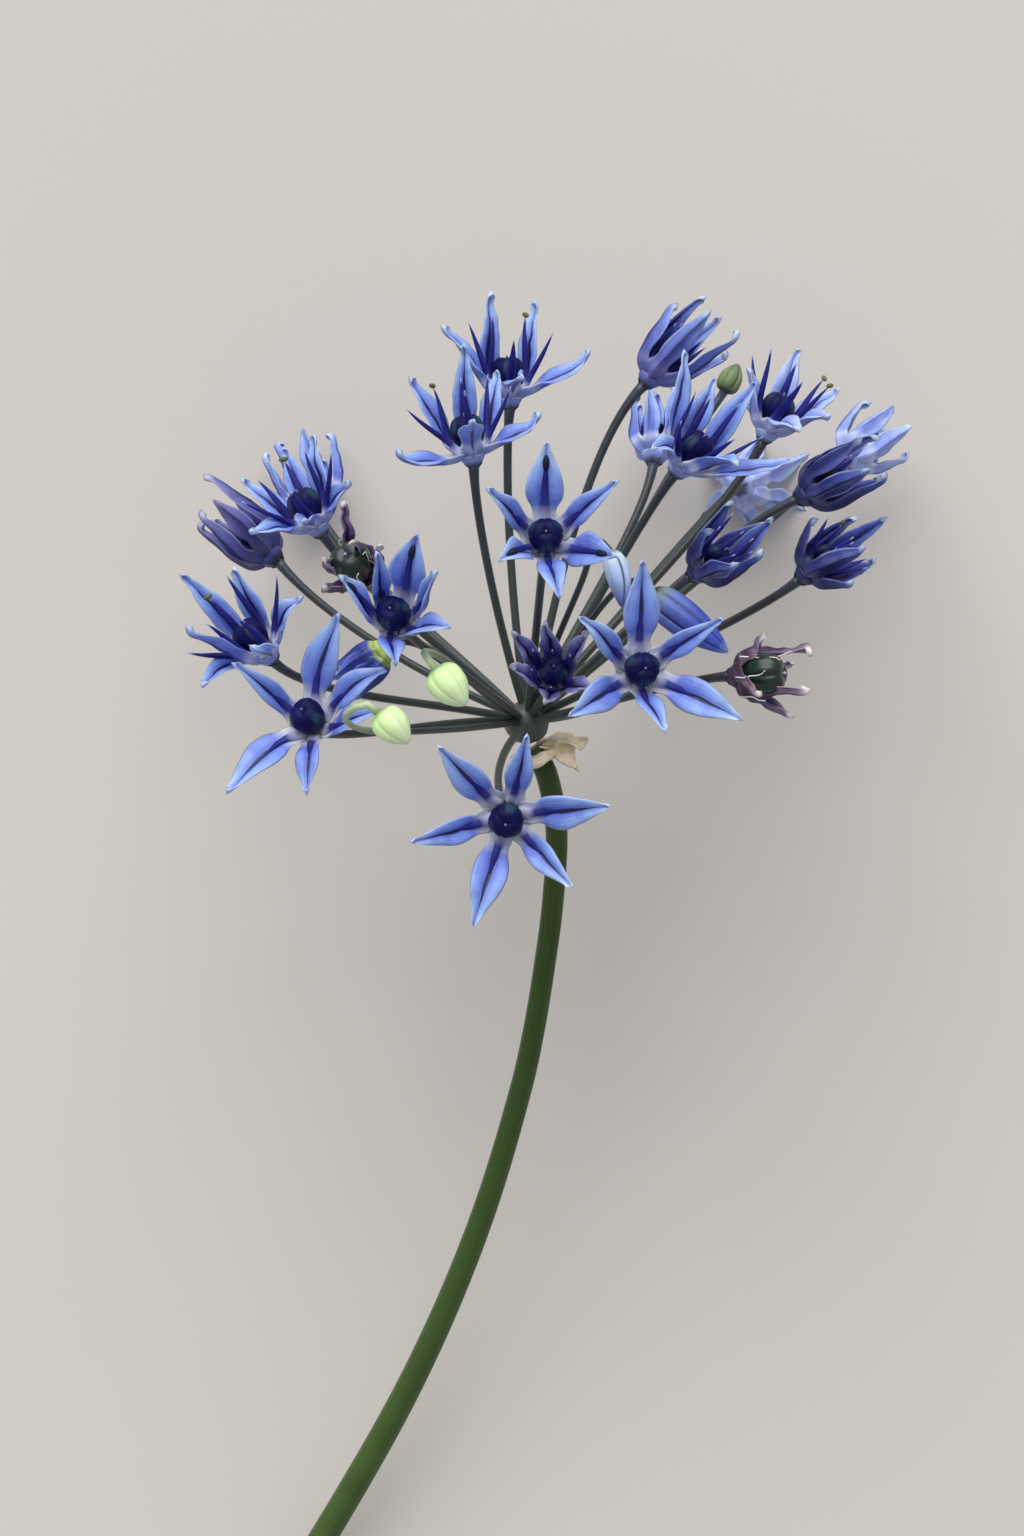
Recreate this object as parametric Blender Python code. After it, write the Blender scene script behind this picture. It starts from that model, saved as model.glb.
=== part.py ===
# Blue globe onion: one cut flower stem lying on a table, its umbel of blue stars in bloom.
#
# A leafless scape carries a hub, and every flower stalk springs from that hub. Each floret has
# six keeled tepals on a small cup, with an ovary and six filaments standing in it. Places are in
# millimetres from the hub: +X to the right, +Y on from the scape through the umbel, +Z up.

import math
import random
from typing import NamedTuple

import bmesh
import bpy
from mathutils import Matrix, Vector

MM = 0.001
SEED = 11

# The hub's place. The origin is on the table, under the middle of the whole flower.
HUB = Vector((1.816, 23.449, 17.3))

# Cup: what the six tepals grow from. Each pair is a height up the floret's axis and a radius.
CUP_FOOT = (0.0, 0.42)
CUP_KEEL = (0.16, 0.72)
CUP_RIM = (0.62, 0.66)
CUP_THROAT = (0.72, 0.56)
CUP_FLOOR = 0.66
STALK_GAP = 0.25

# Tepals: a folded blade with a groove inside and a keel outside.
TEPAL_ROOT = (0.62, 0.6)
TEPAL_KEEL = 0.68
TEPAL_FOLD = 0.16
TEPAL_STATIONS = (0.2, 0.42, 0.66, 0.87)
TEPAL_OUTLINE = ((0.0, 0.3), (0.2, 0.62), (0.42, 1.0), (0.66, 0.86), (0.87, 0.4), (1.0, 0.0))
TEPAL_REACH = 0.36
KEEL_LEAST = 0.35
LEAVE_SPREAD = 4
CURL_SPREAD = 5
WIDTH_SPREAD = 0.06

# Ovary: three lobes, its foot, waist, shoulder and style as (height, radius) for a radius of 1.
OVARY_HEIGHT = 2.12
OVARY_FOOT = (-0.92, 0.42)
OVARY_WAIST = (-0.12, 0.96)
OVARY_SHOULDER = (0.6, 0.78)
OVARY_TOP = (0.96, 0.2)
OVARY_LOBE = 0.1
STYLE_LENGTH = 0.6

# Filaments: one before each tepal, grown together round the ovary. Each station is a place along
# it, its width and its thickness.
FILAMENT_ROOT_HEIGHT = 1.55
FILAMENT_ROOT_RADIUS = 0.8
ERECT_STATIONS = ((0.22, 0.5, 0.3), (0.62, 0.3, 0.24))
ANTHER_STATIONS = ((0.22, 0.5, 0.3), (0.66, 0.26, 0.22), (0.84, 0.46, 0.34))
LYING_LIFT = 0.4
LYING_BOW = 0.15
LYING_MIDDLE = 0.46
LYING_END = 0.72
LYING_LEAVE = (0.8, 0.35)
ERECT_LEAVE = (0.9, 0.5)
ERECT_REACH = 0.34
ERECT_BEND = 0.2
LEAST_OPENING = math.radians(10)

# Stalks, hub and scape.
STALK_ROOT_RADIUS = 0.2
STALK_RADIUS = 0.3
STALK_END_RADIUS = 0.42
STALK_SIDES = 5
STALK_RINGS = 6
STALK_START = 0.8
STALK_LEAVE = 0.66
STALK_ARRIVE = 0.2
HUB_RADIUS = 1.35
HUB_LATITUDES = (-62, -30, 0, 30, 62)
HUB_SIDES = 10
SCAPE_SIDES = 10
SCAPE_RINGS = 24
SCAPE_RADII = ((0.0, 0.66), (0.22, 0.66), (0.66, 0.85), (1.0, 0.87))
SCAPE_ROUTE = ((0.35, -1.6, -0.35), (1.2, -3.2, -0.8), (1.75, -6.4, -1.8), (1.55, -10.5, -3.0),
               (1.1, -14.1, -4.0), (0.42, -18.3, -5.1), (-0.45, -22.2, -6.3), (-2.3, -28.5, -8.2),
               (-4.65, -34.7, -10.2), (-7.5, -40.8, -12.1), (-10.95, -47.0, -13.9),
               (-14.7, -53.2, -15.4), (-18.55, -59.4, -16.4), (-22.5, -65.6, -16.5),
               (-26.42, -71.85, -16.5))

# How deep the lowest florets' tips are pressed flat on the table.
PRESS = 0.3
TABLE_CUT = Vector((400, 400, 20))
WELD = 0.001 * MM
SHARP = math.radians(50)
ROUTE_STEPS = 12


class Kind(NamedTuple):
    """How one kind of floret carries its tepals, and what stands in it.

    leave is the angle between the floret's axis and a tepal where it leaves the cup. A ripe
    capsule has shed its filaments.
    """

    width: float
    leave: float
    curl: float
    twist: float
    ovary: float
    filament: float


KINDS = {
    "open": Kind(width=2.05, leave=54, curl=20, twist=10, ovary=1.0, filament=5.4),
    "pressed": Kind(width=1.6, leave=54, curl=26, twist=6, ovary=1.0, filament=3.2),
    "raised": Kind(width=1.6, leave=54, curl=20, twist=10, ovary=1.0, filament=5.4),
    "cup": Kind(width=1.25, leave=64, curl=4, twist=6, ovary=0.72, filament=4.2),
    "bell": Kind(width=0.95, leave=40, curl=4, twist=4, ovary=0.72, filament=3.7),
    "faded": Kind(width=1.4, leave=50, curl=20, twist=20, ovary=0.8, filament=3.6),
    "capsule": Kind(width=1.1, leave=74, curl=20, twist=24, ovary=1.22, filament=0),
}


class Floret(NamedTuple):
    """One floret: where its stalk ends, the way it faces, and where its six tepals end.

    A tip is measured from the seat. After it may come, where they aren't the kind's, its curl, the
    angle at which the tepal leaves, and its share of the kind's width.
    """

    name: str
    kind: str
    seat: tuple
    facing: tuple
    tips: tuple
    lean: float
    anthers: tuple = ()
    stalk_bow: tuple = (0, 0, 0)
    rests: bool = False


ALL_SIX = (0, 1, 2, 3, 4, 5)
FLORETS = (
    Floret("front_low", "open", (-1.1, -5.1, 16.0), (-0.05, -0.28, 0.96),
           ((1.1, 4.3, 3.6, None, None, 0.72), (5.8, 0.3, 3.6), (3.7, -4.4, 2.6, None, None, 0.74),
            (-2.0, -6.6, 2.2), (-5.6, -1.8, 3.4, None, None, 0.7),
            (-4.0, 3.7, 4.0, None, None, 0.86)), 0, ALL_SIX, (-1.9, 0.6, 0)),
    Floret("front_right", "open", (6.1, 2.8, 14.9), (0.2, 0.05, 0.98),
           ((0.4, 6.3, 2.6), (5.0, 3.0, 3.4, None, None, 0.64), (6.1, -2.8, 2.4),
            (1.7, -3.6, 4.4, None, None, 0.64), (-3.8, -2.6, 4.2, None, None, 0.86),
            (-3.2, 3.0, 4.4, 60, None, 0.68)), 0, ALL_SIX, (1.6, -1.4, 0)),
    Floret("front_middle", "open", (1.0, 10.1, 13.0), (0.02, 0.22, 0.97),
           ((0.1, 5.8, 2.6), (4.2, 3.5, 3.6, None, None, 0.66), (4.1, -0.9, 4.6),
            (0.8, -3.2, 4.2, 45, None, 0.78), (-2.6, -1.1, 4.4, 70, None, 0.82),
            (-3.4, 3.1, 4.2, None, None, 0.64)), 0, ALL_SIX),
    Floret("front_left", "open", (-7.3, 5.5, 13.0), (-0.18, 0.3, 0.94),
           ((1.1, 5.2, 3.2), (2.3, 2.9, 5.0, None, None, 0.62), (2.9, -0.3, 4.2, 50, None, 0.9),
            (-0.2, -2.4, 3.8, None, None, 0.7), (-3.5, 2.7, 3.6, None, None, 0.84),
            (-1.3, 4.1, 4.8, None, None, 0.6)), 0, ALL_SIX),
    Floret("left_low", "open", (-11.9, -0.6, 11.0), (-0.34, 0.42, 0.84),
           ((1.2, 6.8, 2.2), (3.5, 1.1, 4.0, None, None, 0.8), (3.8, 3.4, 2.5, 60, None, 0.76),
            (-0.7, -3.6, 3.0, None, None, 0.74), (-5.3, -3.6, 2.2),
            (-5.0, 3.9, 3.2, None, None, 0.66)), 0, ALL_SIX, (0.6, 0.9, 0)),
    Floret("left_middle", "raised", (-14.7, 3.5, 9.0), (-0.61, 0.68, 0.4),
           ((-5.4, 5.0, 0.5), (-2.1, 5.4, 0.2), (1.8, 3.5, 1.6, 50), (-1.0, 0.7, 5.2, -30),
            (-4.0, -1.6, 2.6), (-5.0, 1.4, 3.6)), 0.35),
    Floret("left_up", "raised", (-12.0, 11.0, 2.0), (-0.5, 0.84, 0.2),
           ((-0.4, 5.8, -1.0), (1.8, 2.9, 2.4), (-0.9, 0.3, 5.2), (-4.2, -0.1, 2.4),
            (-4.9, 3.0, -1.6), (-2.2, 4.9, -4.2)), 0.35),
    Floret("left_back", "cup", (-14.8, 9.6, -6.0), (-0.73, 0.62, -0.28),
           ((-4.9, 2.8, 1.0), (-3.9, 3.7, 1.8), (-4.3, 5.4, 0.4), (-3.2, 4.8, -2.0),
            (-4.0, 2.5, -3.2), (-5.2, 2.2, -1.4)), 0.4, (), (0, -1.8, 0)),
    Floret("left_far", "cup", (-12.6, 12.9, -9.4), (-0.2, 0.66, -0.7),
           ((-2.8, 4.3, -3.6), (0.9, 4.9, -4.2), (-3.6, 3.3, -3.6), (-1.0, 5.2, -3.2),
            (0.6, 3.0, -5.8), (-2.2, 2.0, -5.8)), 0.4, (), (0, 0, 0), True),
    Floret("top_left", "raised", (-3.1, 14.9, 6.2), (-0.19, 0.97, 0.15),
           ((-4.6, 0.6, 2.4, -35, 84), (-4.0, 5.0, -0.6), (-0.5, 7.2, -0.4), (1.6, 5.4, -3.4),
            (3.7, 3.0, 0.8, -50), (0.0, 2.1, 5.0)), 0.4, (1,), (-0.8, 0, 0)),
    Floret("top_middle", "raised", (-1.0, 18.5, 0.0), (-0.06, 0.99, 0.1),
           ((-4.2, 4.6, 0.4), (-1.5, 6.9, -0.8), (1.8, 6.2, -1.8), (4.6, 3.4, 0.6, -40),
            (0.7, 1.5, 4.6), (-2.4, 2.6, -4.2)), 0.4, (2,), (-0.9, 0, 0)),
    Floret("top_right", "cup", (6.9, 19.8, 1.0), (0.62, 0.78, 0.05),
           ((3.5, 5.5, -0.8), (5.8, 2.8, 0.8), (4.6, 4.0, -2.6), (4.0, 4.3, 2.2),
            (5.2, 1.7, -1.6), (1.7, 4.9, 1.0)), 0.4, (), (-1.3, 0, 0)),
    Floret("right_up", "raised", (8.6, 14.4, 5.0), (0.58, 0.74, 0.32),
           ((0.3, 7.2, 0.0), (4.8, 5.3, -1.0), (6.9, 0.7, 0.2, -10), (3.5, 0.2, 4.4, 50),
            (-1.5, 1.2, 4.2, 60), (2.2, 5.6, -3.4)), 0.4, (4,)),
    Floret("right_behind", "raised", (14.0, 16.7, -3.0), (0.4, 0.88, 0.12),
           ((-1.0, 4.1, 1.8), (2.1, 5.4, -2.8), (4.6, 2.8, -2.6), (3.8, 1.0, 2.6, 60),
            (2.0, 0.3, 5.0), (-1.6, 2.6, -3.4)), 0.45, (2, 3)),
    Floret("right_middle", "cup", (15.9, 13.1, 0.0), (0.85, 0.5, 0.1),
           ((4.8, 4.1, -0.6), (5.5, 1.2, 1.0), (3.6, 3.6, 2.4), (4.2, 1.6, 3.2),
            (4.3, 3.7, -2.4), (5.2, 1.2, -2.0)), 0.4, (), (0, 1.0, 0)),
    Floret("right_far", "cup", (18.9, 15.6, -9.0), (0.62, 0.46, -0.62),
           ((3.4, 3.8, -3.0), (4.6, 2.4, -3.2), (4.3, 0.3, -3.6), (1.5, 4.0, -3.8),
            (2.9, 2.1, -5.4), (2.2, 0.0, -5.4)), 0.4),
    Floret("right_inner", "cup", (9.5, 8.4, 7.0), (0.72, 0.55, 0.4),
           ((2.3, 4.5, 0.4), (5.0, 3.5, 0.2), (4.2, 1.1, 3.4), (2.4, 0.4, 4.6),
            (0.8, 2.7, 4.4), (4.4, 3.2, -2.2)), 0.35),
    Floret("right_low", "cup", (15.9, 8.3, 4.0), (0.74, 0.62, 0.25),
           ((0.6, 3.6, 2.8), (3.3, 3.9, -1.2), (5.5, 3.8, 0.2), (3.9, 1.7, 2.6),
            (3.0, -0.5, 2.6), (4.6, 1.0, -2.4)), 0.35, (1,)),
    Floret("centre_faded", "faded", (1.4, 2.2, 5.0), (0.05, 0.35, 0.93),
           ((-0.4, 3.8, 3.6), (2.3, 3.1, 3.1), (2.5, -0.4, 3.4), (-0.4, -1.3, 3.6),
            (-2.6, 1.0, 3.6), (-2.5, 3.1, 3.0)), 0.4),
    Floret("left_nodding", "bell", (-8.0, 4.3, 9.6), (-0.76, -0.62, -0.2),
           ((-3.3, -1.3, -0.7), (-2.7, -1.5, -1.6), (-2.0, -2.3, -1.6), (-1.9, -3.0, -0.7),
            (-2.5, -2.8, 0.2), (-3.2, -1.9, 0.2)), 0.4, (), (0, 0, 1.5)),
    Floret("back_top", "cup", (7.6, 15.6, -10.0), (0.1, 0.85, -0.5),
           ((-0.2, 4.7, -1.2), (1.5, 5.0, -1.8), (1.9, 4.2, -3.6), (-1.2, 4.3, -2.6),
            (0.4, 4.3, -4.4), (-1.0, 3.6, -4.2)), 0.4),
    Floret("right_back", "pressed", (12.8, 14.2, -9.0), (0.28, 0.1, -0.95),
           ((-2.2, -1.7, -5.0), (-2.4, 2.4, -4.95), (1.4, 3.8, -4.8), (4.4, 2.2, -4.8),
            (4.2, -1.2, -4.95), (1.0, -2.9, -5.0)), 0.4, (), (0, 0, 0), True),
    Floret("left_fruit", "capsule", (-9.5, 8.3, 5.7), (-0.3, 0.4, 0.86),
           ((-1.2, 4.7, 2.0), (1.2, 1.9, 4.2), (-0.3, 2.2, 4.6), (-2.4, -0.9, 2.8),
            (-2.6, 0.8, 4.4), (1.4, -0.6, 3.0)), 0.5),
    Floret("right_fruit", "capsule", (11.7, 2.6, 8.0), (0.94, 0.05, 0.33),
           ((1.9, 2.4, 1.4), (5.0, 1.9, -0.4), (4.5, -1.1, 1.9), (3.6, -2.5, -0.8),
            (1.5, -1.3, 3.2), (3.6, 0.9, -2.6)), 0.5),
)


class Bud(NamedTuple):
    """One closed bud, with the route of its stalk from the hub and the way it points."""

    name: str
    colour: str
    seat: tuple
    pointing: tuple
    length: float
    radius: float
    route: tuple


BUDS = (
    Bud("nodding_blue", "blue", (7.15, 7.3, 9.8), (0.77, -0.59, 0.26), 5.7, 1.15,
        ((2.0, 3.4, 4.0), (4.6, 7.0, 7.2), (6.2, 8.1, 9.2))),
    Bud("nodding_pale", "pale blue", (4.7, 9.7, 11.4), (0.4, -0.85, 0.1), 3.4, 0.75,
        ((1.6, 4.4, 5.0), (3.2, 8.2, 8.6), (3.9, 10.4, 11.1))),
    Bud("green_middle", "green", (-5.2, 2.9, 15.4), (0.62, -0.75, 0.2), 2.7, 1.15,
        ((-2.4, 1.8, 6.0), (-4.9, 3.6, 11.4), (-5.9, 3.9, 14.6))),
    Bud("green_left", "green", (-8.4, 0.4, 17.6), (0.7, -0.7, 0.1), 2.4, 1.05,
        ((-4.6, -0.5, 8.0), (-8.9, -0.6, 14.2), (-10.4, 0.1, 16.6), (-9.3, 0.9, 17.8))),
    Bud("green_back", "green", (11.8, 19.8, -7.6), (0.45, 0.85, -0.25), 1.9, 0.75,
        ((5.0, 8.6, -3.4), (8.4, 14.6, -5.6))),
)
BUD_GAP = 0.25
BUD_PROFILE = ((0.0, 0.42), (0.1, 0.8), (0.32, 1.0), (0.58, 0.92), (0.82, 0.55), (1.0, 0.16))
BUD_SIDES = 12
BUD_FLUTE = 0.09

# Spathe: the papery collar left under the hub, with two shrivelled lobes.
SPATHE_RING = (1.32, 1.76)
SPATHE_HEIGHT = 0.55
SPATHE_DROP = 0.1
SPATHE_TAPER = 0.92
SPATHE_SIDES = 10
SPATHE_KIND = Kind(width=2.4, leave=90, curl=-30, twist=50, ovary=0, filament=0)
SPATHE_LOBES = ((3.6, -1.0, -1.7), (3.1, -2.6, -0.4))

# The colours of tepals and ovaries that aren't blue and navy.
TEPAL_COLOUR = {"faded": "violet", "capsule": "violet"}
OVARY_COLOUR = {"capsule": "fruit"}
COLOURS = {
    "blue": ((0.13, 0.18, 0.60), 0.5),
    "violet": ((0.14, 0.10, 0.36), 0.35),
    "navy": ((0.02, 0.02, 0.16), 0.35),
    "pale blue": ((0.42, 0.52, 0.85), 0.5),
    "green": ((0.50, 0.62, 0.24), 0.5),
    "fruit": ((0.03, 0.08, 0.05), 0.4),
    "stalk": ((0.05, 0.08, 0.07), 0.5),
    "scape": ((0.08, 0.16, 0.04), 0.45),
    "papery": ((0.50, 0.38, 0.24), 0.8),
}


def clear_scene():
    for old in list(bpy.data.objects):
        bpy.data.objects.remove(old)


def material(colour):
    """The Principled material of that colour's name, made once."""
    found = bpy.data.materials.get(colour)
    if found:
        return found
    made = bpy.data.materials.new(colour)
    made.use_nodes = True
    shader = made.node_tree.nodes["Principled BSDF"]
    rgb, roughness = COLOURS[colour]
    shader.inputs["Base Color"].default_value = (*rgb, 1)
    shader.inputs["Roughness"].default_value = roughness
    return made


def between(table, where):
    """The value that a table of (place, value) pairs has at where, by straight lines."""
    for (low, before), (high, after) in zip(table, table[1:]):
        if where <= high:
            return before + (after - before) * (where - low) / (high - low)
    return table[-1][1]


def bezier(points, t):
    """The point at t on the cubic with these four control points, and the direction there."""
    a, b, c, d = points
    u = 1 - t
    place = a * u ** 3 + b * 3 * t * u * u + c * 3 * t * t * u + d * t ** 3
    along = (b - a) * (u * u) + (c - b) * (2 * t * u) + (d - c) * (t * t)
    return place, along.normalized()


def through(points, count):
    """count points spread evenly along a smooth curve through the given ones."""
    ends = [points[0] * 2 - points[1], *points, points[-1] * 2 - points[-2]]
    fine = []
    for a, b, c, d in zip(ends, ends[1:], ends[2:], ends[3:]):
        for step in range(ROUTE_STEPS):
            t = step / ROUTE_STEPS
            fine.append(((b * 2) + (c - a) * t + (a * 2 - b * 5 + c * 4 - d) * t * t
                         + (b * 3 - a - c * 3 + d) * t ** 3) / 2)
    fine.append(points[-1].copy())
    reach = [0.0]
    for first, second in zip(fine, fine[1:]):
        reach.append(reach[-1] + (second - first).length)
    table = [(length, point) for length, point in zip(reach, fine)]
    return [between(table, reach[-1] * step / (count - 1)) for step in range(count)]


def across(direction):
    """Two unit vectors square to a direction and to each other."""
    helper = Vector((0, 0, 1)) if abs(direction.z) < 0.9 else Vector((1, 0, 0))
    side = direction.cross(helper).normalized()
    return side, direction.cross(side).normalized()


def ring_of(mesh, points):
    return [mesh.verts.new(point * MM) for point in points]


def bridge(mesh, low, high):
    """Faces from one ring to the next, or to a point.

    Every other strip is split along the other diagonal, so that both faces of a folded blade
    are cut into triangles alike.
    """
    count = len(low)
    for side in range(count):
        after = (side + 1) % count
        a, b = low[side], low[after]
        if len(high) == 1:
            mesh.faces.new((a, b, high[0]))
            continue
        c, d = high[after], high[side]
        if side % 2:
            mesh.faces.new((a, b, d))
            mesh.faces.new((b, c, d))
        else:
            mesh.faces.new((a, b, c))
            mesh.faces.new((a, c, d))


def finished(mesh):
    """The mesh with its faces pointing out and cut into triangles."""
    bmesh.ops.recalc_face_normals(mesh, faces=mesh.faces)
    bmesh.ops.triangulate(mesh, faces=[face for face in mesh.faces if len(face.verts) > 3])
    return mesh


def loft(rings):
    """A closed solid through rings of equal count. Its ends are capped, or the last is a point."""
    mesh = bmesh.new()
    rows = [ring_of(mesh, ring) for ring in rings]
    for low, high in zip(rows, rows[1:]):
        bridge(mesh, low, high)
    mesh.faces.new(rows[0])
    if len(rows[-1]) > 1:
        mesh.faces.new(rows[-1])
    return finished(mesh)


def tube(points, radii, sides):
    """A round solid along points, pointed where the last radius is 0. It doesn't twist."""
    rings = []
    side = None
    for index, point in enumerate(points):
        before = points[max(index - 1, 0)]
        after = points[min(index + 1, len(points) - 1)]
        along = (after - before).normalized()
        side = across(along)[0] if side is None else (side - along * side.dot(along)).normalized()
        other = along.cross(side)
        ring = []
        for step in range(sides):
            angle = 2 * math.pi * step / sides
            ring.append(point + (side * math.cos(angle) + other * math.sin(angle)) * radii[index])
        rings.append(ring)
    if radii[-1] == 0:
        rings[-1] = (points[-1],)
    return loft(rings)


def turned(base, axis, profile, sides, wave=0.0, waves=0, start=None):
    """A solid turned about an axis from (height, radius) pairs, its sides waved if asked."""
    side = start or across(axis)[0]
    other = axis.cross(side)
    rings = []
    for height, radius in profile:
        ring = []
        for step in range(sides):
            angle = 2 * math.pi * step / sides
            wide = radius * (1 + wave * math.cos(waves * angle))
            spoke = side * math.cos(angle) + other * math.sin(angle)
            ring.append(base + axis * height + spoke * wide)
        rings.append(ring)
    return loft(rings)


def solid(name, mesh, colour):
    """An object that holds the mesh, in its colour and shaded smooth but for sharp edges."""
    data = bpy.data.meshes.new(name)
    mesh.to_mesh(data)
    mesh.free()
    data.materials.append(material(colour))
    made = bpy.data.objects.new(name, data)
    bpy.context.scene.collection.objects.link(made)
    made.data.shade_smooth()
    made.data.set_sharp_from_angle(angle=SHARP)
    return made


def apply_boolean(made, boolean):
    """Makes what the Boolean shows the object's own mesh, by the first solver that closes it."""
    for solver in ("EXACT", "MANIFOLD"):
        boolean.solver = solver
        bpy.context.view_layer.update()
        graph = bpy.context.evaluated_depsgraph_get()
        tidy = bmesh.new()
        tidy.from_object(made, graph)
        bmesh.ops.remove_doubles(tidy, verts=tidy.verts, dist=WELD)
        bmesh.ops.dissolve_degenerate(tidy, edges=tidy.edges, dist=WELD)
        bmesh.ops.triangulate(tidy, faces=tidy.faces)
        if all(edge.is_manifold for edge in tidy.edges):
            break
    made.modifiers.clear()
    tidy.to_mesh(made.data)
    tidy.free()


def fuse(name, meshes, colour):
    """One solid from several that cross: a Boolean union on a collection of the rest."""
    made = solid(name, meshes[0], colour)
    rest = bpy.data.collections.new(name + "_parts")
    bpy.context.scene.collection.children.link(rest)
    for index, mesh in enumerate(meshes[1:]):
        piece = solid(f"{name}_{index}", mesh, colour)
        bpy.context.scene.collection.objects.unlink(piece)
        rest.objects.link(piece)
    union = made.modifiers.new("Union", "BOOLEAN")
    union.operation = "UNION"
    union.operand_type = "COLLECTION"
    union.collection = rest
    apply_boolean(made, union)
    for piece in list(rest.objects):
        bpy.data.objects.remove(piece)
    bpy.data.collections.remove(rest)
    return made


def cut_away(made, cutter):
    """Takes one object's space out of another, and removes the cutter."""
    cut = made.modifiers.new("Cut", "BOOLEAN")
    cut.operation = "DIFFERENCE"
    cut.object = cutter
    apply_boolean(made, cut)
    bpy.data.objects.remove(cutter)


def press_on_table(made):
    """Cuts a solid level with the table top, which gives it a small flat spot."""
    bpy.ops.mesh.primitive_cube_add(size=1, location=(0, 0, -TABLE_CUT.z * MM / 2))
    table = bpy.context.object
    table.scale = TABLE_CUT * MM
    cut_away(made, table)


def tepal_azimuths(axis, tips):
    """The tips in their order round the axis, and the even spacing that suits them best."""
    side, other = across(axis)

    def azimuth(tip):
        return math.atan2(tip.place.dot(other), tip.place.dot(side))

    ordered = sorted(tips, key=azimuth)
    sixth = 2 * math.pi / len(ordered)
    offsets = [azimuth(tip) - sixth * index for index, tip in enumerate(ordered)]
    roll = math.atan2(sum(map(math.sin, offsets)), sum(map(math.cos, offsets)))
    spokes = []
    for index in range(len(ordered)):
        angle = roll + sixth * index
        spokes.append(side * math.cos(angle) + other * math.sin(angle))
    return list(zip(spokes, ordered))


class Tip(NamedTuple):
    """Where a tepal ends, measured from its seat, and how it gets there."""

    place: Vector
    curl: float
    leave: float
    breadth: float


def tip_of(given, kind):
    """The tip from its row in the table, with the kind's own curl and leave where it has none."""
    x, y, z, curl, leave, breadth = (*given, None, None, None)[:6]
    return Tip(Vector((x, y, z)), kind.curl if curl is None else curl,
               kind.leave if leave is None else leave, breadth or 1)


class Blade:
    """The curved middle line of a tepal or lobe, with the frame that its blade is built on."""

    def __init__(self, seat, axis, spoke, tip, kind, draw):
        self.axis = axis
        self.spoke = spoke
        self.root = seat + axis * TEPAL_ROOT[0] + spoke * TEPAL_ROOT[1]
        self.tip = seat + tip.place
        outward = (tip.place - axis * tip.place.dot(axis)).normalized() + spoke
        self.outward = outward.normalized()
        chord = self.tip - self.root
        inward = chord.cross(axis.cross(self.outward)).normalized()
        leave = math.radians(tip.leave + draw.uniform(-LEAVE_SPREAD, LEAVE_SPREAD))
        curl = math.radians(tip.curl + draw.uniform(-CURL_SPREAD, CURL_SPREAD))
        reach = chord.length * TEPAL_REACH
        first = axis * math.cos(leave) + spoke * math.sin(leave)
        last = chord.normalized() * math.cos(curl) - inward * math.sin(curl)
        self.curve = (self.root, self.root + first * reach, self.tip - last * reach, self.tip)
        self.twist = math.radians(kind.twist * draw.uniform(-1, 1))
        self.width = kind.width * draw.uniform(1 - WIDTH_SPREAD, 1 + WIDTH_SPREAD)
        self.width *= tip.breadth

    def frame(self, t):
        """Place, direction, side and inner normal at t, from 0 at the root to 1 at the tip."""
        place, along = bezier(self.curve, t)
        spoke = self.spoke.lerp(self.outward, t).normalized()
        side = self.axis.cross(spoke)
        inner = along.cross(side).normalized()
        inner.rotate(Matrix.Rotation(self.twist * t, 3, along))
        return place, along, inner.cross(along), inner

    def ring(self, t):
        """The blade's outline there: one edge, the groove, the other edge and the keel."""
        place, _, side, inner = self.frame(t)
        breadth = between(TEPAL_OUTLINE, t)
        half = side * (self.width * breadth / 2)
        rise = inner * (TEPAL_FOLD * breadth)
        keel = inner * (TEPAL_KEEL * (KEEL_LEAST + (1 - KEEL_LEAST) * breadth))
        return place - half + rise, place, place + half + rise, place - keel

    def grow(self, mesh, root):
        """Adds the blade's faces to a mesh, from a root ring that is already there."""
        row = root
        for t in TEPAL_STATIONS:
            ahead = ring_of(mesh, self.ring(t))
            bridge(mesh, row, ahead)
            row = ahead
        bridge(mesh, row, ring_of(mesh, [self.tip]))


def blades_of(floret, seat):
    """The floret's six tepals, its azimuths shared out evenly where they leave the cup."""
    axis = Vector(floret.facing).normalized()
    kind = KINDS[floret.kind]
    draw = random.Random(f"{SEED} {floret.name}")
    tips = [tip_of(tip, kind) for tip in floret.tips]
    found = []
    for spoke, tip in tepal_azimuths(axis, tips):
        found.append(Blade(seat, axis, spoke, tip, kind, draw))
    return found


def seat_of(floret):
    """Where the floret sits. One that rests comes down until its tepals press on the table."""
    seat = HUB + Vector(floret.seat)
    if not floret.rests:
        return seat
    heights = []
    for blade in blades_of(floret, seat):
        heights.append(blade.tip.z)
        for t in TEPAL_STATIONS:
            heights += [corner.z for corner in blade.ring(t)]
    return seat - Vector((0, 0, min(heights) + PRESS))


def round_about(seat, axis, spokes, place, lobe=0.0):
    """Six points between the spokes, at a (height, radius), every other one pushed out."""
    height, radius = place
    points = []
    for index, spoke in enumerate(spokes):
        between_two = (spoke + spokes[(index + 1) % len(spokes)]).normalized()
        wide = radius * (1 + (lobe if index % 2 else -lobe))
        points.append(seat + axis * height + between_two * wide)
    return points


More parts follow.
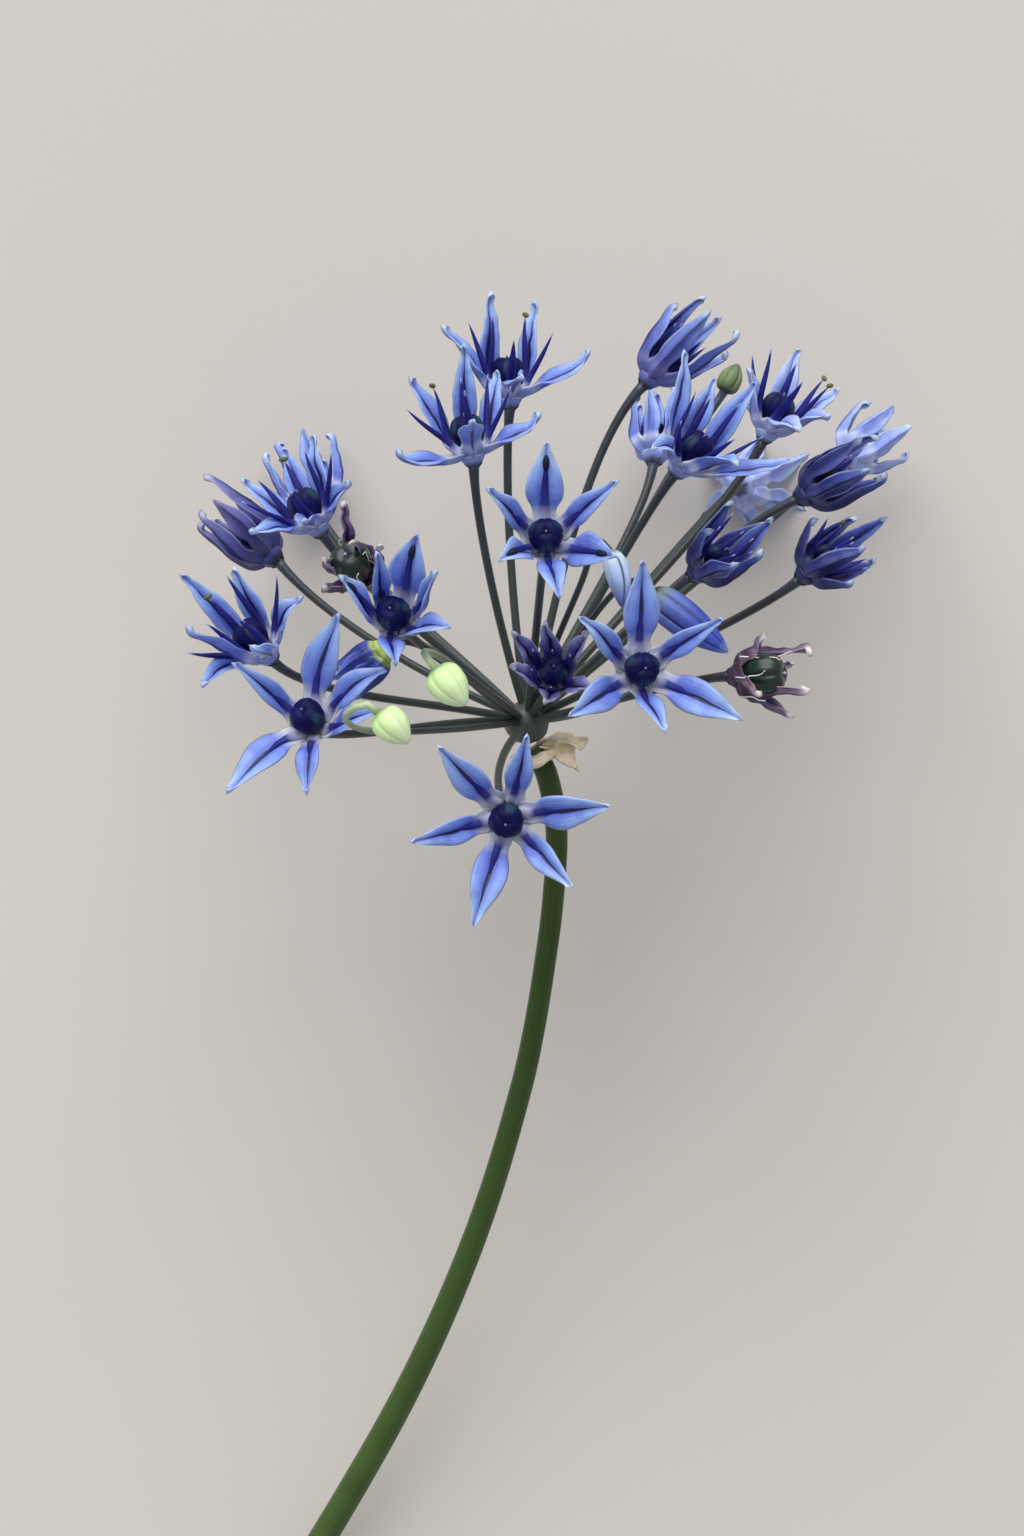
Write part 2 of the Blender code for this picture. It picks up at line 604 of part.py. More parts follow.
def perianth(seat, blades):
    """The cup and its six tepals as one solid, each tepal grown from one side of the cup."""
    axis = blades[0].axis
    spokes = [blade.spoke for blade in blades]
    mesh = bmesh.new()
    foot = ring_of(mesh, round_about(seat, axis, spokes, CUP_FOOT))
    rim = ring_of(mesh, round_about(seat, axis, spokes, CUP_RIM))
    floor = mesh.verts.new((seat + axis * CUP_FLOOR) * MM)
    throats = []
    for index, blade in enumerate(blades):
        throat = seat + axis * CUP_THROAT[0] + blade.spoke * CUP_THROAT[1]
        keel = seat + axis * CUP_KEEL[0] + blade.spoke * CUP_KEEL[1]
        inside, outside = ring_of(mesh, (throat, keel))
        throats.append(inside)
        mesh.faces.new((foot[index - 1], foot[index], outside))
        mesh.faces.new((foot[index - 1], outside, rim[index - 1]))
        mesh.faces.new((foot[index], rim[index], outside))
        blade.grow(mesh, (rim[index - 1], inside, rim[index], outside))
    for index, inside in enumerate(throats):
        mesh.faces.new((floor, rim[index - 1], inside))
        mesh.faces.new((floor, inside, rim[index]))
    mesh.faces.new(foot)
    return finished(mesh)


def filament(blade, seat, kind, lean):
    """One filament's curve: lying in its tepal's groove, or raised towards the axis by lean."""
    axis = blade.axis
    root = seat + axis * FILAMENT_ROOT_HEIGHT + blade.spoke * (FILAMENT_ROOT_RADIUS * kind.ovary)
    if lean == 0:
        middle, _, _, inner = blade.frame(LYING_MIDDLE)
        end, _, _, end_inner = blade.frame(LYING_END)
        return (root, root + blade.spoke * LYING_LEAVE[0] + axis * LYING_LEAVE[1],
                middle + inner * (LYING_LIFT + LYING_BOW), end + end_inner * LYING_LIFT)
    opening = max(LEAST_OPENING, (blade.tip - seat).angle(axis) * (1 - lean))
    aim = axis * math.cos(opening) + blade.outward * math.sin(opening)
    end = seat + aim * kind.filament
    leave = root + blade.spoke * (ERECT_LEAVE[0] * kind.ovary) + axis * ERECT_LEAVE[1]
    arrive = (aim + axis * ERECT_BEND).normalized() * (kind.filament * ERECT_REACH)
    return root, leave, end - arrive, end


def grow_filament(mesh, root, curve, blade, stations):
    """Adds one flat filament to a mesh, from the root ring on the ovary's side to its point."""
    row = root
    for t, width, thickness in stations:
        place, along = bezier(curve, t)
        side = blade.axis.cross(blade.spoke)
        inner = along.cross(side).normalized()
        wide = inner.cross(along) * (width / 2)
        thick = inner * (thickness / 2)
        corners = (place - wide - thick, place + wide - thick,
                   place + wide + thick, place - wide + thick)
        ahead = ring_of(mesh, corners)
        bridge(mesh, row, ahead)
        row = ahead
    bridge(mesh, row, ring_of(mesh, [curve[3]]))


def pistil(floret, seat, blades):
    """The three-lobed ovary with its style, and six filaments grown together round it."""
    kind = KINDS[floret.kind]
    axis = blades[0].axis
    size = kind.ovary
    centre = seat + axis * (OVARY_HEIGHT + max(0, size - 1.0))
    spokes = [blade.spoke for blade in blades]
    mesh = bmesh.new()

    def level(place, lobe):
        scaled = (place[0] * size, place[1] * size)
        return ring_of(mesh, round_about(centre, axis, spokes, scaled, lobe))

    foot = level(OVARY_FOOT, 0)
    waist = level(OVARY_WAIST, OVARY_LOBE)
    shoulder = level(OVARY_SHOULDER, OVARY_LOBE)
    top = level(OVARY_TOP, 0)
    mesh.faces.new(foot)
    bridge(mesh, waist, shoulder)
    bridge(mesh, shoulder, top)
    bridge(mesh, top, ring_of(mesh, [centre + axis * (size + STYLE_LENGTH)]))
    for index, blade in enumerate(blades):
        root = (foot[index - 1], foot[index], waist[index], waist[index - 1])
        if kind.filament == 0:
            mesh.faces.new(root)
            continue
        curve = filament(blade, seat, kind, floret.lean)
        stations = ANTHER_STATIONS if index in floret.anthers else ERECT_STATIONS
        grow_filament(mesh, root, curve, blade, stations)
    return finished(mesh)


def make_floret(floret):
    """The floret's two solids, and where its stalk ends."""
    seat = seat_of(floret)
    blades = blades_of(floret, seat)
    tepal_colour = TEPAL_COLOUR.get(floret.kind, "blue")
    tepals = solid(floret.name + "_tepals", perianth(seat, blades), tepal_colour)
    if floret.rests:
        press_on_table(tepals)
    ovary_colour = OVARY_COLOUR.get(floret.kind, "navy")
    solid(floret.name + "_pistil", pistil(floret, seat, blades), ovary_colour)
    axis = blades[0].axis
    return seat - axis * STALK_GAP, axis


def make_bud(bud):
    """A closed bud, its six tepals showing as flutes."""
    axis = Vector(bud.pointing).normalized()
    seat = HUB + Vector(bud.seat)
    profile = [(height * bud.length, radius * bud.radius) for height, radius in BUD_PROFILE]
    mesh = turned(seat, axis, profile, BUD_SIDES, BUD_FLUTE, 6)
    solid(bud.name + "_bud", mesh, bud.colour)


def stalk_to(end, arriving, bow):
    """The points of a stalk from the hub, arriving at its floret along the floret's axis."""
    start = HUB + (end - HUB).normalized() * STALK_START
    length = (end - start).length
    bowed = Vector(bow) * STALK_LEAVE
    leave = start.lerp((start + end) / 2, STALK_LEAVE) + bowed
    arrive = end - arriving * (length * STALK_ARRIVE) + bowed
    curve = (start, leave, arrive, end)
    return [bezier(curve, step / (STALK_RINGS - 1))[0] for step in range(STALK_RINGS)]


def stalk(points):
    radii = [STALK_ROOT_RADIUS] + [STALK_RADIUS] * (len(points) - 2) + [STALK_END_RADIUS]
    return tube(points, radii, STALK_SIDES)


def make_stalks(ends):
    """The hub and every stalk that springs from it, as one solid."""
    latitudes = [math.radians(angle) for angle in HUB_LATITUDES]
    profile = [(HUB_RADIUS * math.sin(a), HUB_RADIUS * math.cos(a)) for a in latitudes]
    meshes = [turned(HUB, Vector((0, 1, 0)), profile, HUB_SIDES)]
    for end, axis, bow in ends:
        meshes.append(stalk(stalk_to(end, axis, bow)))
    for bud in BUDS:
        axis = Vector(bud.pointing).normalized()
        end = HUB + Vector(bud.seat) - axis * BUD_GAP
        route = [HUB + Vector(point) for point in bud.route]
        start = HUB + (route[0] - HUB).normalized() * STALK_START
        meshes.append(stalk(through([start, *route, end], STALK_RINGS + 2)))
    fuse("stalks", meshes, "stalk")


def scape_points():
    return through([HUB + Vector(point) for point in SCAPE_ROUTE], SCAPE_RINGS)


def make_scape():
    """The leafless stem, from just under the hub to its cut end flat on the table."""
    points = scape_points()
    radii = []
    for index in range(SCAPE_RINGS):
        radii.append(between(SCAPE_RADII, index / (SCAPE_RINGS - 1)))
    made = solid("scape", tube(points, radii, SCAPE_SIDES), "scape")
    press_on_table(made)


def lobe(base, axis, tip, draw):
    """One shrivelled lobe of the spathe, rooted in its collar."""
    spoke = (tip - axis * tip.dot(axis)).normalized()
    blade = Blade(base, axis, spoke, tip_of(tip, SPATHE_KIND), SPATHE_KIND, draw)
    mesh = bmesh.new()
    root = ring_of(mesh, blade.ring(0))
    blade.grow(mesh, root)
    mesh.faces.new(root)
    return finished(mesh)


def make_spathe():
    """The papery collar under the hub with its two lobes."""
    points = scape_points()
    axis = (points[0] - points[1]).normalized()
    inner, outer = SPATHE_RING
    base = points[0] - axis * (SPATHE_HEIGHT + SPATHE_DROP)
    collar = ((0, outer), (SPATHE_HEIGHT, outer * SPATHE_TAPER))
    meshes = [turned(base, axis, collar, SPATHE_SIDES)]
    draw = random.Random(SEED)
    for tip in SPATHE_LOBES:
        meshes.append(lobe(base, axis, HUB + Vector(tip) - base, draw))
    made = fuse("spathe", meshes, "papery")
    through_all = ((-1, inner), (SPATHE_HEIGHT + 1, inner))
    hole = turned(base, axis, through_all, SPATHE_SIDES)
    cut_away(made, solid("scape_hole", hole, "papery"))


def main():
    clear_scene()
    make_scape()
    make_spathe()
    ends = []
    for floret in FLORETS:
        end, axis = make_floret(floret)
        ends.append((end, axis, floret.stalk_bow))
    for bud in BUDS:
        make_bud(bud)
    make_stalks(ends)


main()
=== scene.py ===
# The looks of a blue globe onion: one cut flower stem lying on a pale table, seen from above.
#
# Every solid of the frame is replaced by a finer piece on the same curves: thin grooved tepals,
# lobed ovaries, tapering filaments, ribbed stalks. Places are in millimetres, from the hub that
# the flower stalks spring from: +X to the right, +Y on through the umbel, +Z up from the table.

import random
from math import atan2, cos, exp, pi, radians, sin, sqrt
from typing import NamedTuple

import bmesh
import bpy
from mathutils import Matrix, Vector, noise


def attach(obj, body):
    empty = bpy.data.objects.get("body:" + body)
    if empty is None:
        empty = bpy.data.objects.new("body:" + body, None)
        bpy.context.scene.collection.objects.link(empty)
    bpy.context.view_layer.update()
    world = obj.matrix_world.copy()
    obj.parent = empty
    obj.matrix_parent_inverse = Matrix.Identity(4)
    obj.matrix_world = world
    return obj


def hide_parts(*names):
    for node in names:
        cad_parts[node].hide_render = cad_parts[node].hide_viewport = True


MM = 0.001
SEED = 11
HUB = Vector((1.816, 23.449, 17.3))
UP = Vector((0, 0, 1))

# The cup of a floret, as heights up the axis and radii, and the roots of its tepals.
CUP_PROFILE = ((-0.1, 0.3), (-0.02, 0.37), (0.08, 0.49), (0.2, 0.61), (0.34, 0.7), (0.48, 0.76),
               (0.6, 0.76), (0.64, 0.68), (0.62, 0.4), (0.6, 0.02))
CUP_SIDES = 36
CUP_DISH = 0.2
CUP_RIB = 0.05
CUP_RIM = 0.6
CUP_MARKS = (-0.13, 0.32, 0.06)
TEPAL_ROOT = (0.62, 0.6)
TEPAL_FOOT = (0.02, 0.26)
FOOT_LEAVE = (0.2, 0.05)
FOOT_ARRIVE = 0.25
FOOT_SPAN = 0.12
TEPAL_REACH = 0.36
LEAVE_SPREAD = 4
CURL_SPREAD = 5
WIDTH_SPREAD = 0.06

# A tepal's blade: its width in the cup in mm, its width along its length as a share, the rise of
# its two flanks from the groove between them, its thickness and the way its tip ends. A span is
# the part of the length over which something comes in.
BASE_WIDTH = ((-0.12, 0.34), (-0.06, 0.62), (0.0, 0.86), (0.08, 1.3), (0.15, 1.46), (0.24, 1.3),
              (1.0, 1.2))
TEPAL_OUTLINE = ((0.0, 0.5), (0.12, 0.52), (0.24, 0.64), (0.36, 0.88), (0.47, 1.0), (0.58, 0.97),
                 (0.7, 0.78), (0.8, 0.55), (0.88, 0.36), (0.94, 0.22), (1.0, 0.12))
BASE_SPAN = (0.16, 0.38)
FLAT_SPAN = (0.1, 0.34)
UPTURN_SPAN = (0.1, 0.45)
FOOT_STATIONS = 4
TEPAL_STATIONS = 28
TIP_CROWD = 0.4
TEPAL_HALF = 5
FOLD = 0.28
FOLD_POWER = 1.2
PILLOW = 0.14
MARGIN_THICK = 0.1
KEEL_THICK = 0.28
KEEL_WIDTH = 0.26
THICK_TAPER = 0.6
FOOT_THIN = 0.55
FOOT_THIN_SPAN = (-0.05, 0.2)
WAVE = 0.06
WAVE_TURNS = 9
WAVE_OFFSET = 1.2
CRINKLE = (0.05, 1.1)
CRINKLE_SPAN = (0.1, 0.5)
CRUMPLE_SIZE = 0.7
CRUMPLE_SPAN = (0, 0.3)
TIP_HOOD = 0.12
HOOD_SPAN = (0.82, 0.96)
TIP_WIDTH = 0.44
TIP_THICK = 0.26
TIP_SPAN = (0.86, 0.96)
TIP_START = 0.94
TIP_LEAST = 0.03
HOOK_START = 0.86

# The ovary, its furrows and style, for a radius of 1. A ripe one's furrows are deeper.
OVARY_HEIGHT = 2.12
OVARY_SIDES = 48
FURROW = 0.11
RIPE_FURROW = 0.2
LESSER_FURROW = 0.05
LOBE_LIFT = 0.08
OVARY_PROFILE = ((-1.42, 0.3), (-1.25, 0.36), (-1.08, 0.56), (-0.86, 0.79), (-0.6, 0.94),
                 (-0.28, 1.03), (0.04, 1.04), (0.34, 0.97), (0.58, 0.82), (0.74, 0.62),
                 (0.8, 0.4), (0.74, 0.2), (0.7, 0.05))
STYLE_ROOT = 0.66
STYLE_LENGTH = 0.3
STYLE_RADIUS = 0.07
STYLE_TIP = 0.6
STYLE_STEPS = 5
STYLE_SIDES = 10

# Filaments: the width along one, from its broad base to its thread, and its anther.
FILAMENT_ROOT = (0.8, 0.74)
FILAMENT_SPREAD = (0.9, 1.03)
ERECT_WIDTH = ((0.0, 0.74), (0.15, 0.6), (0.45, 0.5), (0.66, 0.43), (0.84, 0.26), (1.0, 0.05))
LYING_WIDTH = ((0.0, 0.86), (0.15, 0.66), (0.35, 0.44), (0.75, 0.3), (1.0, 0.08))
FILAMENT_FLAT = 0.6
FILAMENT_LEAST = 0.03
FILAMENT_STEPS = 16
FILAMENT_SIDES = 8
ERECT_LEAVE = (0.9, 1.25)
ERECT_BEND = 0.2
ERECT_REACH = 0.34
LEAST_OPENING = radians(10)
LYING_PALE = 0.64
LYING_LIFT = 0.02
LYING_RISE = 0.5
LYING_MIDDLE = 0.3
LYING_ENDS = (0.5, 0.84)
ERECT_ANTHER = (0.6, 0.15)
ERECT_TILT = 0.3
LYING_ANTHER = (0.95, 0.22)
LYING_BACK = 0.35
ANTHER_STEPS = 11
ANTHER_SIDES = 10
ANTHER_END = 0.02

# A seed capsule's withered filaments: their roots, how far they reach up and out, how they wander.
THREAD_ROOT = 1.1
THREAD_UP = (2.2, 3.6)
THREAD_OUT = (0.9, 1.6)
THREAD_STEPS = 14
THREAD_SIDES = 6
THREAD_RADIUS = 0.05
THREAD_WANDER = (0.5, 0.8)
THREAD_START = 0.1

# The first mark of a point in a floret's heart, where it isn't a place on a filament.
STYLE_MARK = -2
OVARY_MARK = -1
LYING_MARK = 2
ERECT_MARK = 3
THREAD_MARK = 3

# Stalks, hub and scape.
STALK_START = 0.8
STALK_LEAVE = 0.66
STALK_ARRIVE = 0.2
STALK_RADII = ((0.0, 0.22), (0.08, 0.235), (0.5, 0.235), (0.85, 0.25), (0.95, 0.29), (1.0, 0.34))
STALK_STEPS = 28
STALK_SIDES = 12
STALK_RIBS = (6, 0.03)
STALK_END = 0.03
BUD_STALK = 0.78
PALE_TONE = 2.0
HUB_RADIUS = 1.3
HUB_SIDES = 28
HUB_LUMPS = (0.12, 0.5)
HUB_TONE = 0.3
SCAPE_SIDES = 36
SCAPE_RINGS = 150
SCAPE_RIBS = (12, 0.01, 0.99)
SCAPE_RADII = ((0.0, 0.66), (0.22, 0.66), (0.66, 0.85), (1.0, 0.87))
SCAPE_ROUTE = ((0.35, -1.6, -0.35), (1.2, -3.2, -0.8), (1.75, -6.4, -1.8), (1.55, -10.5, -3.0),
               (1.1, -14.1, -4.0), (0.42, -18.3, -5.1), (-0.45, -22.2, -6.3), (-2.3, -28.5, -8.2),
               (-4.65, -34.7, -10.2), (-7.5, -40.8, -12.1), (-10.95, -47.0, -13.9),
               (-14.7, -53.2, -15.4), (-18.55, -59.4, -16.4), (-22.5, -65.6, -16.5),
               (-26.42, -71.85, -16.5))
TABLE_SKIN = 0.015
ROUTE_STEPS = 12


class Kind(NamedTuple):
    """How one kind of floret carries its tepals, and what stands in it.

    hook is the least and most that the tepals' tips curl in, upturn how far their blades turn
    their faces up, crumple how shrivelled they are.
    """

    width: float
    leave: float
    curl: float
    twist: float
    ovary: float
    filament: float
    look: str
    hook: tuple
    upturn: float = 0
    crumple: float = 0


KINDS = {
    "open": Kind(2.15, 54, 20, 10, 1.0, 5.4, "blue", (5, 35)),
    "raised": Kind(1.5, 54, 20, 12, 1.0, 5.6, "blue", (20, 90), 0.45, 0.07),
    "pressed": Kind(1.6, 54, 26, 6, 1.0, 3.2, "pale", (2, 3)),
    "cup": Kind(1.3, 64, 4, 14, 0.72, 4.4, "lilac", (50, 150), 0.25, 0.05),
    "bell": Kind(1.5, 40, 4, 4, 0.72, 3.4, "nodding", (20, 50)),
    "faded": Kind(1.3, 50, 20, 20, 0.8, 3.6, "faded", (60, 160), 0, 0.12),
    "capsule": Kind(0.75, 74, 20, 24, 1.22, 0, "shrivelled", (80, 200), 0, 0.22),
}


class Floret(NamedTuple):
    """One floret: where its stalk ends, the way it faces, and where its six tepals end.

    A tip is measured from the seat. After it may come its share of the kind's width and, where
    they aren't the kind's, its curl and the angle at which the tepal leaves. lean is how far the
    filaments stand in towards the axis, and at 0 they lie on the tepals. anthers are the tepals,
    by their place in the table, whose stamens still have one. bow is how far the stalk bends out.
    """

    name: str
    kind: str
    seat: tuple
    facing: tuple
    tips: tuple
    lean: float = 0.4
    anthers: tuple = ()
    bow: tuple = (0, 0, 0)
    look: str = ""


FLORETS = (
    Floret("front_low", "open", (-1.1, -5.1, 16.0), (-0.05, -0.28, 0.96), (
        (1.1, 4.3, 3.6, 0.72), (5.8, 0.3, 3.6), (3.7, -4.4, 2.6, 0.74), (-2.0, -6.6, 2.2),
        (-5.6, -1.8, 3.4, 0.7), (-4.0, 3.7, 4.0, 0.86)), lean=0, bow=(-1.9, 0.6, 0)),
    Floret("front_right", "open", (6.1, 2.8, 14.9), (0.2, 0.05, 0.98), (
        (0.4, 6.3, 2.6), (5.0, 3.0, 3.4, 0.64), (6.1, -2.8, 2.4), (1.7, -3.6, 4.4, 0.64),
        (-3.8, -2.6, 4.2, 0.86), (-3.2, 3.0, 4.4, 0.68, 60)), lean=0, bow=(1.6, -1.4, 0)),
    Floret("front_middle", "open", (1.0, 10.1, 13.0), (0.02, 0.22, 0.97), (
        (0.1, 5.8, 2.6), (4.2, 3.5, 3.6, 0.66), (4.1, -0.9, 4.6), (0.8, -3.2, 4.2, 0.78, 45),
        (-2.6, -1.1, 4.4, 0.82, 70), (-3.4, 3.1, 4.2, 0.64)), lean=0, anthers=(0, 2, 4)),
    Floret("front_left", "open", (-7.3, 5.5, 13.0), (-0.18, 0.3, 0.94), (
        (1.1, 5.2, 3.2), (2.3, 2.9, 5.0, 0.62), (2.9, -0.3, 4.2, 0.9, 50), (-0.2, -2.4, 3.8, 0.7),
        (-3.5, 2.7, 3.6, 0.84), (-1.3, 4.1, 4.8, 0.6)), lean=0, anthers=(0, 4)),
    Floret("left_low", "open", (-11.9, -0.6, 11.0), (-0.34, 0.42, 0.84), (
        (1.2, 6.8, 2.2), (3.5, 1.1, 4.0, 0.8), (3.8, 3.4, 2.5, 0.76, 60), (-0.7, -3.6, 3.0, 0.74),
        (-5.3, -3.6, 2.2), (-5.0, 3.9, 3.2, 0.66)), lean=0, bow=(0.6, 0.9, 0)),
    Floret("left_middle", "raised", (-14.7, 3.5, 9.0), (-0.61, 0.68, 0.4), (
        (-5.4, 5.0, 0.5), (-2.1, 5.4, 0.2), (1.8, 3.5, 1.6, 1, 50), (-1.0, 0.7, 5.2, 1, -30),
        (-4.0, -1.6, 2.6), (-5.0, 1.4, 3.6)), lean=0.35, anthers=(0,)),
    Floret("left_up", "raised", (-12.0, 11.0, 2.0), (-0.5, 0.84, 0.2), (
        (-0.4, 5.8, -1.0), (1.8, 2.9, 2.4), (-0.9, 0.3, 5.2), (-4.2, -0.1, 2.4), (-4.9, 3.0, -1.6),
        (-2.2, 4.9, -4.2)), lean=0.35, anthers=(5,)),
    Floret("left_back", "cup", (-14.8, 9.6, -6.0), (-0.73, 0.62, -0.28), (
        (-4.9, 2.8, 1.0), (-3.9, 3.7, 1.8), (-4.3, 5.4, 0.4), (-3.2, 4.8, -2.0), (-4.0, 2.5, -3.2),
        (-5.2, 2.2, -1.4)), bow=(0, -1.8, 0), look="mauve"),
    Floret("left_far", "cup", (-12.6, 12.9, -11.8), (-0.2, 0.66, -0.7), (
        (-2.8, 4.3, -3.6), (0.9, 4.9, -4.2), (-3.6, 3.3, -3.6), (-1.0, 5.2, -3.2),
        (0.6, 3.0, -5.8), (-2.2, 2.0, -5.8)), look="blue"),
    Floret("top_left", "raised", (-3.1, 14.9, 6.2), (-0.19, 0.97, 0.15), (
        (-4.6, 0.6, 2.4, 1, -35, 84), (-4.0, 5.0, -0.6), (-0.5, 7.2, -0.4), (1.6, 5.4, -3.4),
        (3.7, 3.0, 0.8, 1, -50), (0.0, 2.1, 5.0)), anthers=(1,), bow=(-0.8, 0, 0)),
    Floret("top_middle", "raised", (-1.0, 18.5, 0.0), (-0.06, 0.99, 0.1), (
        (-4.2, 4.6, 0.4), (-1.5, 6.9, -0.8), (1.8, 6.2, -1.8), (4.6, 3.4, 0.6, 1, -40),
        (0.7, 1.5, 4.6), (-2.4, 2.6, -4.2)), anthers=(2,), bow=(-0.9, 0, 0)),
    Floret("top_right", "cup", (6.9, 19.8, 1.0), (0.62, 0.78, 0.05), (
        (3.5, 5.5, -0.8), (5.8, 2.8, 0.8), (4.6, 4.0, -2.6), (4.0, 4.3, 2.2), (5.2, 1.7, -1.6),
        (1.7, 4.9, 1.0)), bow=(-1.3, 0, 0)),
    Floret("right_up", "raised", (8.6, 14.4, 5.0), (0.58, 0.74, 0.32), (
        (0.3, 7.2, 0.0), (4.8, 5.3, -1.0), (6.9, 0.7, 0.2, 1, -10), (3.5, 0.2, 4.4, 1, 50),
        (-1.5, 1.2, 4.2, 1, 60), (2.2, 5.6, -3.4))),
    Floret("right_behind", "raised", (14.0, 16.7, -3.0), (0.4, 0.88, 0.12), (
        (-1.0, 4.1, 1.8), (2.1, 5.4, -2.8), (4.6, 2.8, -2.6), (3.8, 1.0, 2.6, 1, 60),
        (2.0, 0.3, 5.0), (-1.6, 2.6, -3.4)), lean=0.45, anthers=(2, 3), look="pale"),
    Floret("right_middle", "cup", (15.9, 13.1, 0.0), (0.85, 0.5, 0.1), (
        (4.8, 4.1, -0.6), (5.5, 1.2, 1.0), (3.6, 3.6, 2.4), (4.2, 1.6, 3.2), (4.3, 3.7, -2.4),
        (5.2, 1.2, -2.0)), bow=(0, 1.0, 0), look="dusk"),
    Floret("right_far", "cup", (18.9, 15.6, -9.0), (0.62, 0.46, -0.62), (
        (3.4, 3.8, -3.0), (4.6, 2.4, -3.2), (4.3, 0.3, -3.6), (1.5, 4.0, -3.8), (2.9, 2.1, -5.4),
        (2.2, 0.0, -5.4)), anthers=(4,), look="pale"),
    Floret("right_inner", "cup", (9.5, 8.4, 7.0), (0.72, 0.55, 0.4), (
        (2.3, 4.5, 0.4), (5.0, 3.5, 0.2), (4.2, 1.1, 3.4), (2.4, 0.4, 4.6), (0.8, 2.7, 4.4),
        (4.4, 3.2, -2.2)), lean=0.35, look="dusk"),
    Floret("right_low", "cup", (15.9, 8.3, 4.0), (0.74, 0.62, 0.25), (
        (0.6, 3.6, 2.8), (3.3, 3.9, -1.2), (5.5, 3.8, 0.2), (3.9, 1.7, 2.6), (3.0, -0.5, 2.6),
        (4.6, 1.0, -2.4)), lean=0.35, anthers=(1,), look="dusk"),
    Floret("centre_faded", "faded", (1.4, 2.2, 5.0), (0.05, 0.35, 0.93), (
        (-0.4, 3.8, 3.6), (2.3, 3.1, 3.1), (2.5, -0.4, 3.4), (-0.4, -1.3, 3.6), (-2.6, 1.0, 3.6),
        (-2.5, 3.1, 3.0))),
    Floret("left_nodding", "bell", (-8.0, 4.3, 9.6), (-0.76, -0.62, -0.2), (
        (-3.3, -1.3, -0.7), (-2.7, -1.5, -1.6), (-2.0, -2.3, -1.6), (-1.9, -3.0, -0.7),
        (-2.5, -2.8, 0.2), (-3.2, -1.9, 0.2)), bow=(0, 0, 1.5)),
    Floret("back_top", "cup", (7.6, 15.6, -10.0), (0.1, 0.85, -0.5), (
        (-0.2, 4.7, -1.2), (1.5, 5.0, -1.8), (1.9, 4.2, -3.6), (-1.2, 4.3, -2.6), (0.4, 4.3, -4.4),
        (-1.0, 3.6, -4.2)), look="blue"),
    Floret("right_back", "pressed", (12.8, 14.2, -12.6), (0.28, 0.1, -0.95), (
        (-2.2, -1.7, -5.0), (-2.4, 2.4, -4.95), (1.4, 3.8, -4.8), (4.4, 2.2, -4.8),
        (4.2, -1.2, -4.95), (1.0, -2.9, -5.0))),
    Floret("left_fruit", "capsule", (-9.5, 8.3, 5.7), (-0.3, 0.4, 0.86), (
        (-1.2, 4.7, 2.0), (1.2, 1.9, 4.2), (-0.3, 2.2, 4.6), (-2.4, -0.9, 2.8), (-2.6, 0.8, 4.4),
        (1.4, -0.6, 3.0)), lean=0.5),
    Floret("right_fruit", "capsule", (11.7, 2.6, 8.0), (0.94, 0.05, 0.33), (
        (1.9, 2.4, 1.4), (5.0, 1.9, -0.4), (4.5, -1.1, 1.9), (3.6, -2.5, -0.8), (1.5, -1.3, 3.2),
        (3.6, 0.9, -2.6)), lean=0.5),
)


class Bud(NamedTuple):
    """One closed bud, with the route of its stalk from the hub and the way it points."""

    name: str
    look: str
    seat: tuple
    pointing: tuple
    length: float
    radius: float
    route: tuple


BUDS = (
    Bud("nodding_blue", "blue bud", (7.15, 7.3, 9.8), (0.77, -0.59, 0.26), 5.7, 1.15,
        ((2.0, 3.4, 4.0), (4.6, 7.0, 7.2), (6.2, 8.1, 9.2))),
    Bud("nodding_pale", "pale bud", (4.7, 9.7, 11.4), (0.4, -0.85, 0.1), 3.4, 0.75,
        ((1.6, 4.4, 5.0), (3.2, 8.2, 8.6), (3.9, 10.4, 11.1))),
    Bud("green_middle", "green bud", (-5.2, 2.9, 15.4), (0.62, -0.75, 0.2), 2.7, 1.15,
        ((-2.4, 1.8, 6.0), (-4.9, 3.6, 11.4), (-5.9, 3.9, 14.6))),
    Bud("green_left", "green bud", (-8.4, 0.4, 17.6), (0.7, -0.7, 0.1), 2.4, 1.05,
        ((-4.6, -0.5, 8.0), (-8.9, -0.6, 14.2), (-10.4, 0.1, 16.6), (-9.3, 0.9, 17.8))),
    Bud("green_back", "olive bud", (11.8, 19.8, -7.6), (0.45, 0.85, -0.25), 1.9, 0.75,
        ((5.0, 8.6, -3.4), (8.4, 14.6, -5.6))),
)
BUD_GAP = 0.05
BUD_START = -0.02
BUD_CROWD = 1.2
BUD_LOBE_MIDDLE = 0.9
PALE_BEND = Vector((-0.75, -0.1, 0.0))
BUD_PROFILE = ((-0.02, 0.3), (0.03, 0.62), (0.1, 0.82), (0.2, 0.96), (0.32, 1.0), (0.46, 0.98),
               (0.58, 0.9), (0.7, 0.75), (0.8, 0.58), (0.89, 0.4), (0.96, 0.22), (1.0, 0.06))
BUD_SIDES = 60
BUD_STEPS = 30

# Spathe: the papery collar left under the hub, with two shrivelled lobes.
SPATHE_RING = (1.3, 1.62)
SPATHE_HEIGHT = 0.55
SPATHE_DROP = 0.1
SPATHE_KIND = Kind(2.4, 90, -30, 50, 0, 0, "papery", (10, 40))
SPATHE_LOBES = ((3.6, -1.0, -1.7), (3.1, -2.6, -0.4))
SPATHE_CRUMPLE = 0.22
SPATHE_LUMPS = (0.14, 0.9)
SPATHE_SIDES = 40

